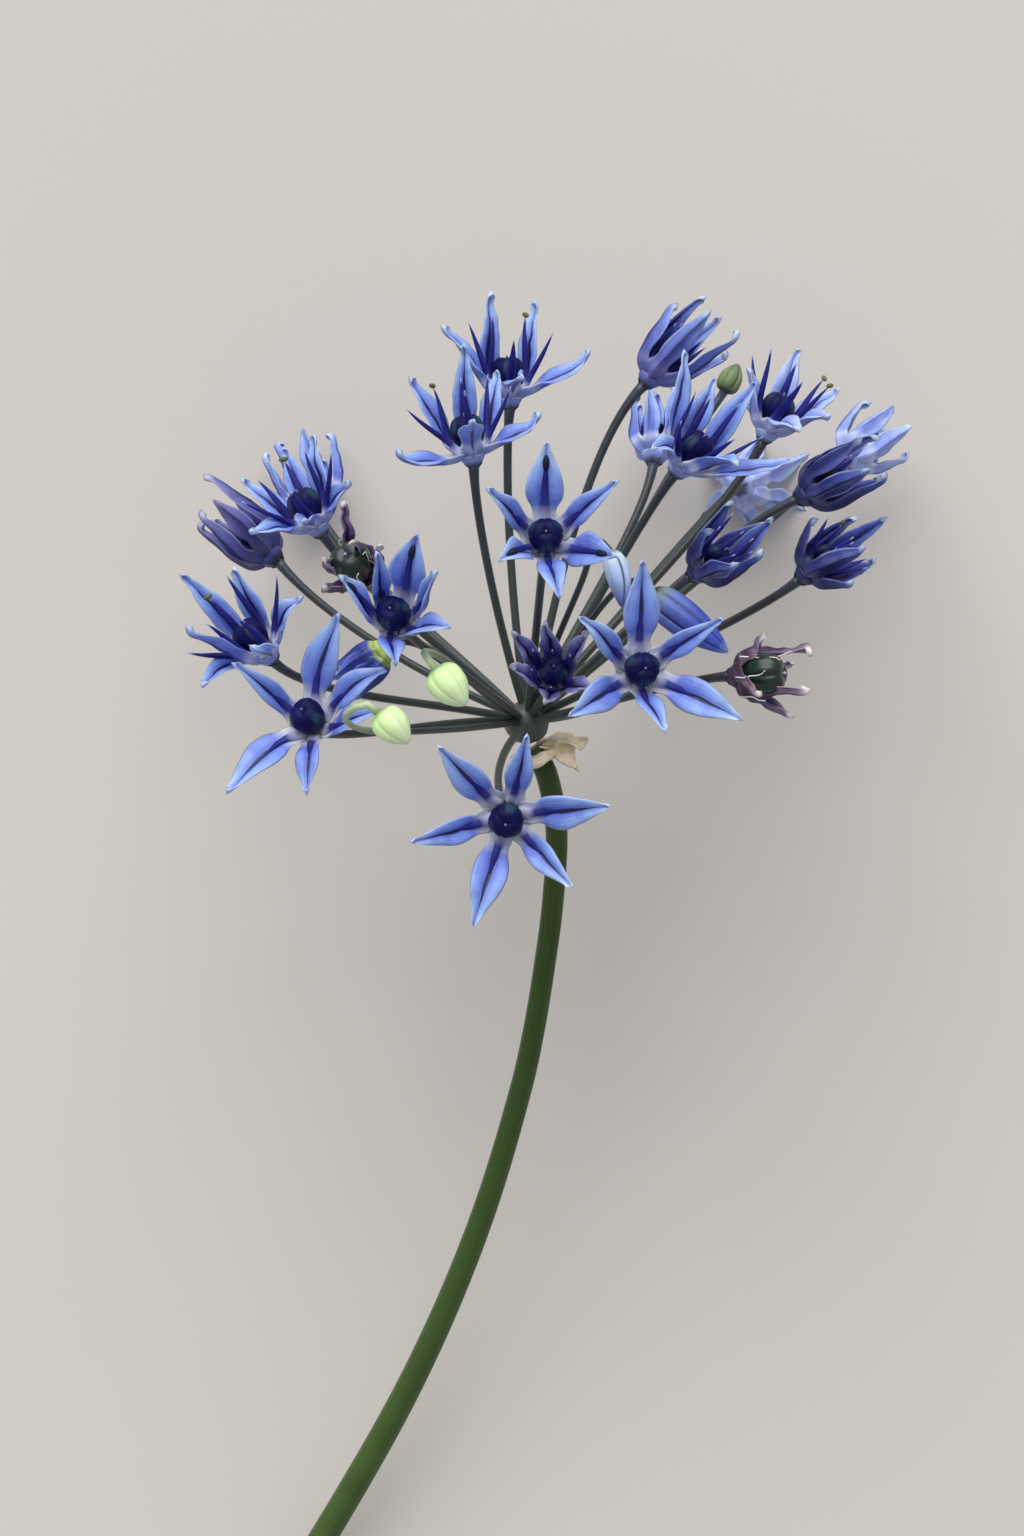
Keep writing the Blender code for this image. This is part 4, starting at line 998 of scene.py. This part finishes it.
# Materials.
class Look:
    """A material in the making, with short ways to add and join its nodes."""

    def __init__(self, name, roughness=0.45, sheen=0.0, subsurface=0.0, gloss=0.5):
        self.material = bpy.data.materials.new(name)
        self.material.use_nodes = True
        self.nodes = self.material.node_tree.nodes
        self.links = self.material.node_tree.links
        self.shader = self.nodes["Principled BSDF"]
        self.shader.inputs["Roughness"].default_value = roughness
        self.shader.inputs["Specular IOR Level"].default_value = gloss
        self.shader.inputs["Sheen Weight"].default_value = sheen
        self.shader.inputs["Sheen Roughness"].default_value = 0.4
        if subsurface:
            self.shader.inputs["Subsurface Weight"].default_value = subsurface
            self.shader.inputs["Subsurface Radius"].default_value = (0.3, 0.35, 0.9)
            self.shader.inputs["Subsurface Scale"].default_value = 0.7 * MM

    def fill(self, socket, value):
        if isinstance(value, bpy.types.NodeSocket):
            self.links.new(value, socket)
        elif isinstance(value, tuple):
            socket.default_value = (*value, 1)[:len(socket.default_value)]
        else:
            socket.default_value = value

    def node(self, kind, inputs=(), **settings):
        """A new node with those settings, and its inputs filled by their names or numbers."""
        made = self.nodes.new("ShaderNode" + kind)
        for name, value in settings.items():
            setattr(made, name, value)
        for name, value in inputs:
            self.fill(made.inputs[name], value)
        return made

    def marks(self):
        """Along, across, tone and inner face, as the points of the piece are marked."""
        place = self.node("Attribute", attribute_name="place")
        parts = self.node("SeparateColor", ((0, place.outputs["Color"]),))
        return (*parts.outputs[:3], place.outputs["Alpha"])

    def sum(self, operation, *values):
        """A sum of that kind, with numbers or the outputs of other nodes."""
        return self.node("Math", enumerate(values), operation=operation).outputs[0]

    def times(self, first, second):
        return self.sum("MULTIPLY", first, second)

    def steps(self, value, low, high, start=0.0, end=1.0):
        """A smooth step of value from start at low to end at high."""
        inputs = enumerate((value, low, high, start, end))
        return self.node("MapRange", inputs, interpolation_type="SMOOTHSTEP").outputs[0]

    def past(self, value, level):
        """1 where value is past a level between two marks, 0 where it isn't."""
        return self.steps(value, level - MARK_EDGE, level + MARK_EDGE)

    def mix(self, share, first, second):
        inputs = ((0, share), (6, first), (7, second))
        return self.node("Mix", inputs, data_type="RGBA").outputs[2]

    def ramp(self, value, stops):
        """A colour that runs through (place, colour) stops."""
        node = self.node("ValToRGB", ((0, value),))
        stops_made = node.color_ramp.elements
        while len(stops_made) < len(stops):
            stops_made.new(1)
        for made, (place, colour) in zip(stops_made, stops):
            made.position = place
            made.color = (*colour, 1)
        return node.outputs[0]

    def cloud(self, scale, detail=2.0):
        """Noise at so many blotches to the metre."""
        where = self.node("TexCoord").outputs["Object"]
        inputs = (("Vector", where), ("Scale", scale), ("Detail", detail))
        return self.node("TexNoise", inputs).outputs[0]

    def bump(self, height, strength=0.5, distance=BUMP):
        inputs = (("Height", height), ("Strength", strength), ("Distance", distance))
        self.fill(self.shader.inputs["Normal"], self.node("Bump", inputs).outputs[0])

    def finish(self, colour):
        self.fill(self.shader.inputs["Base Color"], colour)
        return self.material


def tepal_look(name):
    """A tepal's skin: pale round the cup and at its tip, with a dark vein in its groove."""
    root, low, middle, high, tip, deep, vein, foot = TEPAL_COLOURS[name]
    look = Look(name, roughness=0.42, sheen=0.05, subsurface=0.25, gloss=0.32)
    t, s, tone, inner = look.marks()
    closed = name.endswith("bud")
    stops = zip(BUD_STOPS if closed else BLADE_STOPS, (foot if closed else root, root, low, middle,
                                                       high, tip))
    blade = look.ramp(t, tuple(stops))
    edge = look.sum("ABSOLUTE", look.sum("MULTIPLY_ADD", s, 2.0, -1.0))
    blotch = look.steps(look.cloud(900.0), 0.4, 0.75, 0.0, 0.35)
    shade = look.sum("MULTIPLY_ADD", tone, 0.25, blotch)
    shade = look.times(shade, look.steps(t, 0.12, 0.34))
    colour = look.mix(shade, blade, deep)
    lines = look.sum("MULTIPLY_ADD", look.sum("SINE", look.times(s, FINE_LINES)), 0.5, 0.5)
    colour = look.mix(look.times(lines, 0.07), colour, deep)
    if closed:
        seam = look.steps(edge, 0.8, 0.98)
        keel = look.steps(edge, 0.03, 0.16, 0.2, 0.0)
        lined = look.times(look.sum("MAXIMUM", seam, keel), look.steps(t, 0.06, 0.2))
        colour = look.mix(look.times(lined, 0.85), colour, vein)
    else:
        # Painted shade: the central fold between the two flanks is darkened towards the deep colour.
        fold_shade = look.sum("SUBTRACT", 1.0, look.steps(edge, 0.05, 0.6))
        fold_shade = look.times(fold_shade, look.steps(t, 0.16, 0.4, 0.0, 0.5))
        colour = look.mix(fold_shade, colour, deep)
        belly = look.sum("SINE", look.times(look.steps(t, 0.1, 0.97), pi))
        wide = look.sum("MULTIPLY_ADD", belly, 0.17, 0.03)
        groove = look.sum("SUBTRACT", 1.0, look.steps(edge, look.times(wide, 0.4), wide))
        ends = look.times(look.steps(t, 0.12, 0.3), look.steps(t, 0.88, 0.96, 1.0, 0.0))
        face = look.sum("MULTIPLY_ADD", inner, 0.35, 0.6)
        dark = look.times(look.times(groove, ends), face)
        colour = look.mix(dark, colour, vein)
        # Painted highlight: the margins are lightened towards the tip colour.
        margin_highlight = look.times(look.steps(edge, 0.8, 1.0), look.steps(t, 0.2, 0.5, 0.0, 0.3))
        colour = look.mix(margin_highlight, colour, tip)
        back = look.times(look.steps(t, 0.1, 0.3, 0.85, 0.0),
                        look.sum("SUBTRACT", 1.0, inner))
        colour = look.mix(back, colour, low)
        foot_end = 0.14 if name == "nodding" else 0.02
        colour = look.mix(look.steps(t, foot_end - 0.12, foot_end, 1.0, 0.0), colour, foot)
    look.bump(look.sum("ADD", look.times(lines, 0.5), look.cloud(3500.0)))
    return look.finish(colour)


def heart_look():
    """Navy ovary with three grey-green patches, indigo filaments, dark anthers."""
    look = Look("heart", roughness=0.5, subsurface=0.1, gloss=0.12)
    t, high, turn, _ = look.marks()
    haze = look.steps(look.cloud(700.0), 0.4, 0.75, 0.0, 0.5)
    ovary = look.mix(haze, (0.003, 0.004, 0.05), (0.008, 0.011, 0.13))
    # Grey-green patches on the lobes' shoulders: partly the ovary's waxy bloom, partly a painted
    # highlight.
    lobes = look.sum("COSINE", look.times(turn, 6 * pi))
    wax_and_highlight = look.times(look.steps(lobes, 0.3, 0.9), look.steps(high, 0.4, 0.55))
    wax_and_highlight = look.times(wax_and_highlight, look.steps(high, 0.6, 0.78, 0.7, 0.0))
    ovary = look.mix(wax_and_highlight, ovary, (0.03, 0.07, 0.10))
    filament_colour = look.ramp(t, ((0.0, (0.74, 0.76, 0.86)), (0.12, (0.50, 0.52, 0.76)),
                                    (0.22, (0.04, 0.045, 0.26)), (0.4, (0.016, 0.016, 0.16)),
                                    (0.92, (0.025, 0.028, 0.22)), (1.0, (0.4, 0.45, 0.7))))
    speckle = look.cloud(1800.0)
    lying = look.mix(speckle, (0.004, 0.005, 0.03), (0.02, 0.025, 0.06))
    olive = look.mix(speckle, (0.03, 0.04, 0.02), (0.22, 0.25, 0.10))
    anther = look.mix(look.past(t, 2.5), lying, olive)
    filament_colour = look.mix(look.past(t, 1.5), filament_colour, anther)
    style = (0.14, 0.18, 0.42)
    stem = look.mix(look.past(t, -1.5), style, ovary)
    colour = look.mix(look.past(t, -0.5), stem, filament_colour)
    look.bump(look.cloud(6000.0))
    return look.finish(colour)


def fruit_look():
    """A ripening capsule: dark green lobes with a waxy skin, and pale withered threads."""
    look = Look("fruit", roughness=0.34, sheen=0.1)
    t, high, _, _ = look.marks()
    skin = look.mix(look.cloud(900.0), (0.004, 0.011, 0.008), (0.012, 0.034, 0.020))
    skin = look.mix(look.steps(high, 0.7, 1.0, 0.0, 0.6), skin, (0.02, 0.02, 0.08))
    colour = look.mix(look.past(t, -1.5), (0.45, 0.44, 0.50), skin)
    colour = look.mix(look.past(t, 2.5), colour, (0.80, 0.78, 0.74))
    look.bump(look.cloud(5000.0))
    return look.finish(colour)


def stalk_look():
    """Slate-green stalks, greener by the hub and inky by the florets."""
    look = Look("stalk", roughness=0.42, sheen=0.1, subsurface=0.05)
    t, _, tone, _ = look.marks()
    dark = look.ramp(t, ((0.0, (0.055, 0.070, 0.058)), (0.14, (0.042, 0.055, 0.048)),
                         (0.4, (0.034, 0.044, 0.040)), (0.85, (0.016, 0.020, 0.028)),
                         (1.0, (0.03, 0.035, 0.075))))
    pale = look.ramp(t, ((0.0, (0.05, 0.06, 0.05)), (0.55, (0.022, 0.03, 0.03)),
                         (0.75, (0.20, 0.26, 0.18)), (1.0, (0.50, 0.62, 0.36))))
    streak = look.times(look.cloud(1200.0), 0.3)
    dark = look.mix(streak, dark, (0.07, 0.085, 0.085))
    colour = look.mix(look.steps(tone, 1.2, 1.6), dark, pale)
    look.bump(look.cloud(3000.0), 0.4)
    return look.finish(colour)


def scape_look():
    """A smooth green stem with fine lengthwise streaks and a pale cut end."""
    look = Look("scape", roughness=0.45, sheen=0.12, subsurface=0.05, gloss=0.25)
    t, around, _, _ = look.marks()
    green = look.ramp(t, ((0.0, (0.034, 0.056, 0.014)), (0.15, (0.030, 0.064, 0.009)),
                          (0.6, (0.058, 0.112, 0.022)), (1.0, (0.10, 0.17, 0.06))))
    lines = look.sum("SINE", look.times(around, 24 * pi))
    stripes = look.sum("MULTIPLY_ADD", lines, 0.5, 0.5)
    colour = look.mix(look.times(stripes, 0.2), green, (0.05, 0.09, 0.025))
    blotch = look.steps(look.cloud(250.0, 4.0), 0.4, 0.8, 0.0, 0.35)
    colour = look.mix(blotch, colour, (0.012, 0.026, 0.005))
    look.bump(stripes, 0.35)
    return look.finish(colour)


def papery_look():
    """The dried bract: tan paper, browner in blotches."""
    look = Look("papery", roughness=0.75, sheen=0.1, subsurface=0.2)
    blotch = look.steps(look.cloud(800.0, 4.0), 0.35, 0.7)
    # Partly painted light: the tan is paler than the paper's own, to offset the umbel's shadow on it.
    colour = look.mix(blotch, (0.96, 0.85, 0.66), (0.64, 0.50, 0.31))
    look.bump(look.cloud(2600.0, 4.0), 0.6, PAPER_BUMP)
    return look.finish(colour)


def table_look():
    """Smooth, pale and hardly clouded."""
    look = Look("table", roughness=0.8)
    colour = look.mix(look.cloud(9.0), (0.60, 0.565, 0.525), (0.63, 0.595, 0.555))
    return look.finish(colour)


# The studio.
CAMERA_OFFSET = Vector((-0.88, -2.71, 480.0))
FRAME_HEIGHT = 90.35
SENSOR = 36.0
SUN_FROM = Vector((-0.15, 0.95, 0.8))
SUN_POWER = 3.2
SUN_SPREAD = radians(60)
SKY_POWER = 0.41
TABLE_SIZE = 4


def make_table():
    """The pale table that the flower lies on."""
    bpy.ops.mesh.primitive_plane_add(size=TABLE_SIZE, location=(0, 0, 0))
    table = bpy.context.object
    table.name = "table"
    table.data.materials.append(table_look())


def make_lights():
    """Soft daylight from beyond the umbel and above, and a pale sky."""
    sun = bpy.data.lights.new("window", "SUN")
    sun.energy = SUN_POWER
    sun.angle = SUN_SPREAD
    sun.color = (1.0, 0.985, 0.96)
    lamp = bpy.data.objects.new("window", sun)
    bpy.context.scene.collection.objects.link(lamp)
    lamp.rotation_euler = SUN_FROM.to_track_quat("Z", "Y").to_euler()
    world = bpy.data.worlds.new("sky")
    world.use_nodes = True
    sky = world.node_tree.nodes["Background"]
    sky.inputs["Color"].default_value = (0.93, 0.96, 1.0, 1)
    sky.inputs["Strength"].default_value = SKY_POWER
    bpy.context.scene.world = world


def make_camera():
    """Straight above the hub, far enough off for a flat view."""
    data = bpy.data.cameras.new("camera")
    data.sensor_width = SENSOR
    data.lens = SENSOR * CAMERA_OFFSET.z / FRAME_HEIGHT
    camera = bpy.data.objects.new("camera", data)
    bpy.context.scene.collection.objects.link(camera)
    camera.location = (HUB + CAMERA_OFFSET) * MM
    bpy.context.scene.camera = camera
    bpy.context.scene.view_settings.view_transform = "Standard"


def main():
    noise.seed_set(SEED)
    looks = {name: tepal_look(name) for name in TEPAL_COLOURS}
    looks.update(heart=heart_look(), fruit=fruit_look(), stalk=stalk_look(), scape=scape_look(),
                 papery=papery_look())
    make_scape(looks)
    make_spathe(looks)
    make_stalks(looks)
    for floret in FLORETS:
        make_floret(floret, looks)
    for bud in BUDS:
        make_bud(bud, looks)
    make_table()
    make_lights()
    make_camera()


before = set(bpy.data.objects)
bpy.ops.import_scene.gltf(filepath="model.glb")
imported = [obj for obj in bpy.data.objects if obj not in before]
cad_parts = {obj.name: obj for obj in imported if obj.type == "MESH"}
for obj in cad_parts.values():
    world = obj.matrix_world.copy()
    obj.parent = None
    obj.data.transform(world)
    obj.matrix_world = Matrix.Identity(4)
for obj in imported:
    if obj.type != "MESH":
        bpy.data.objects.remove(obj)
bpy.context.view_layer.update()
main()
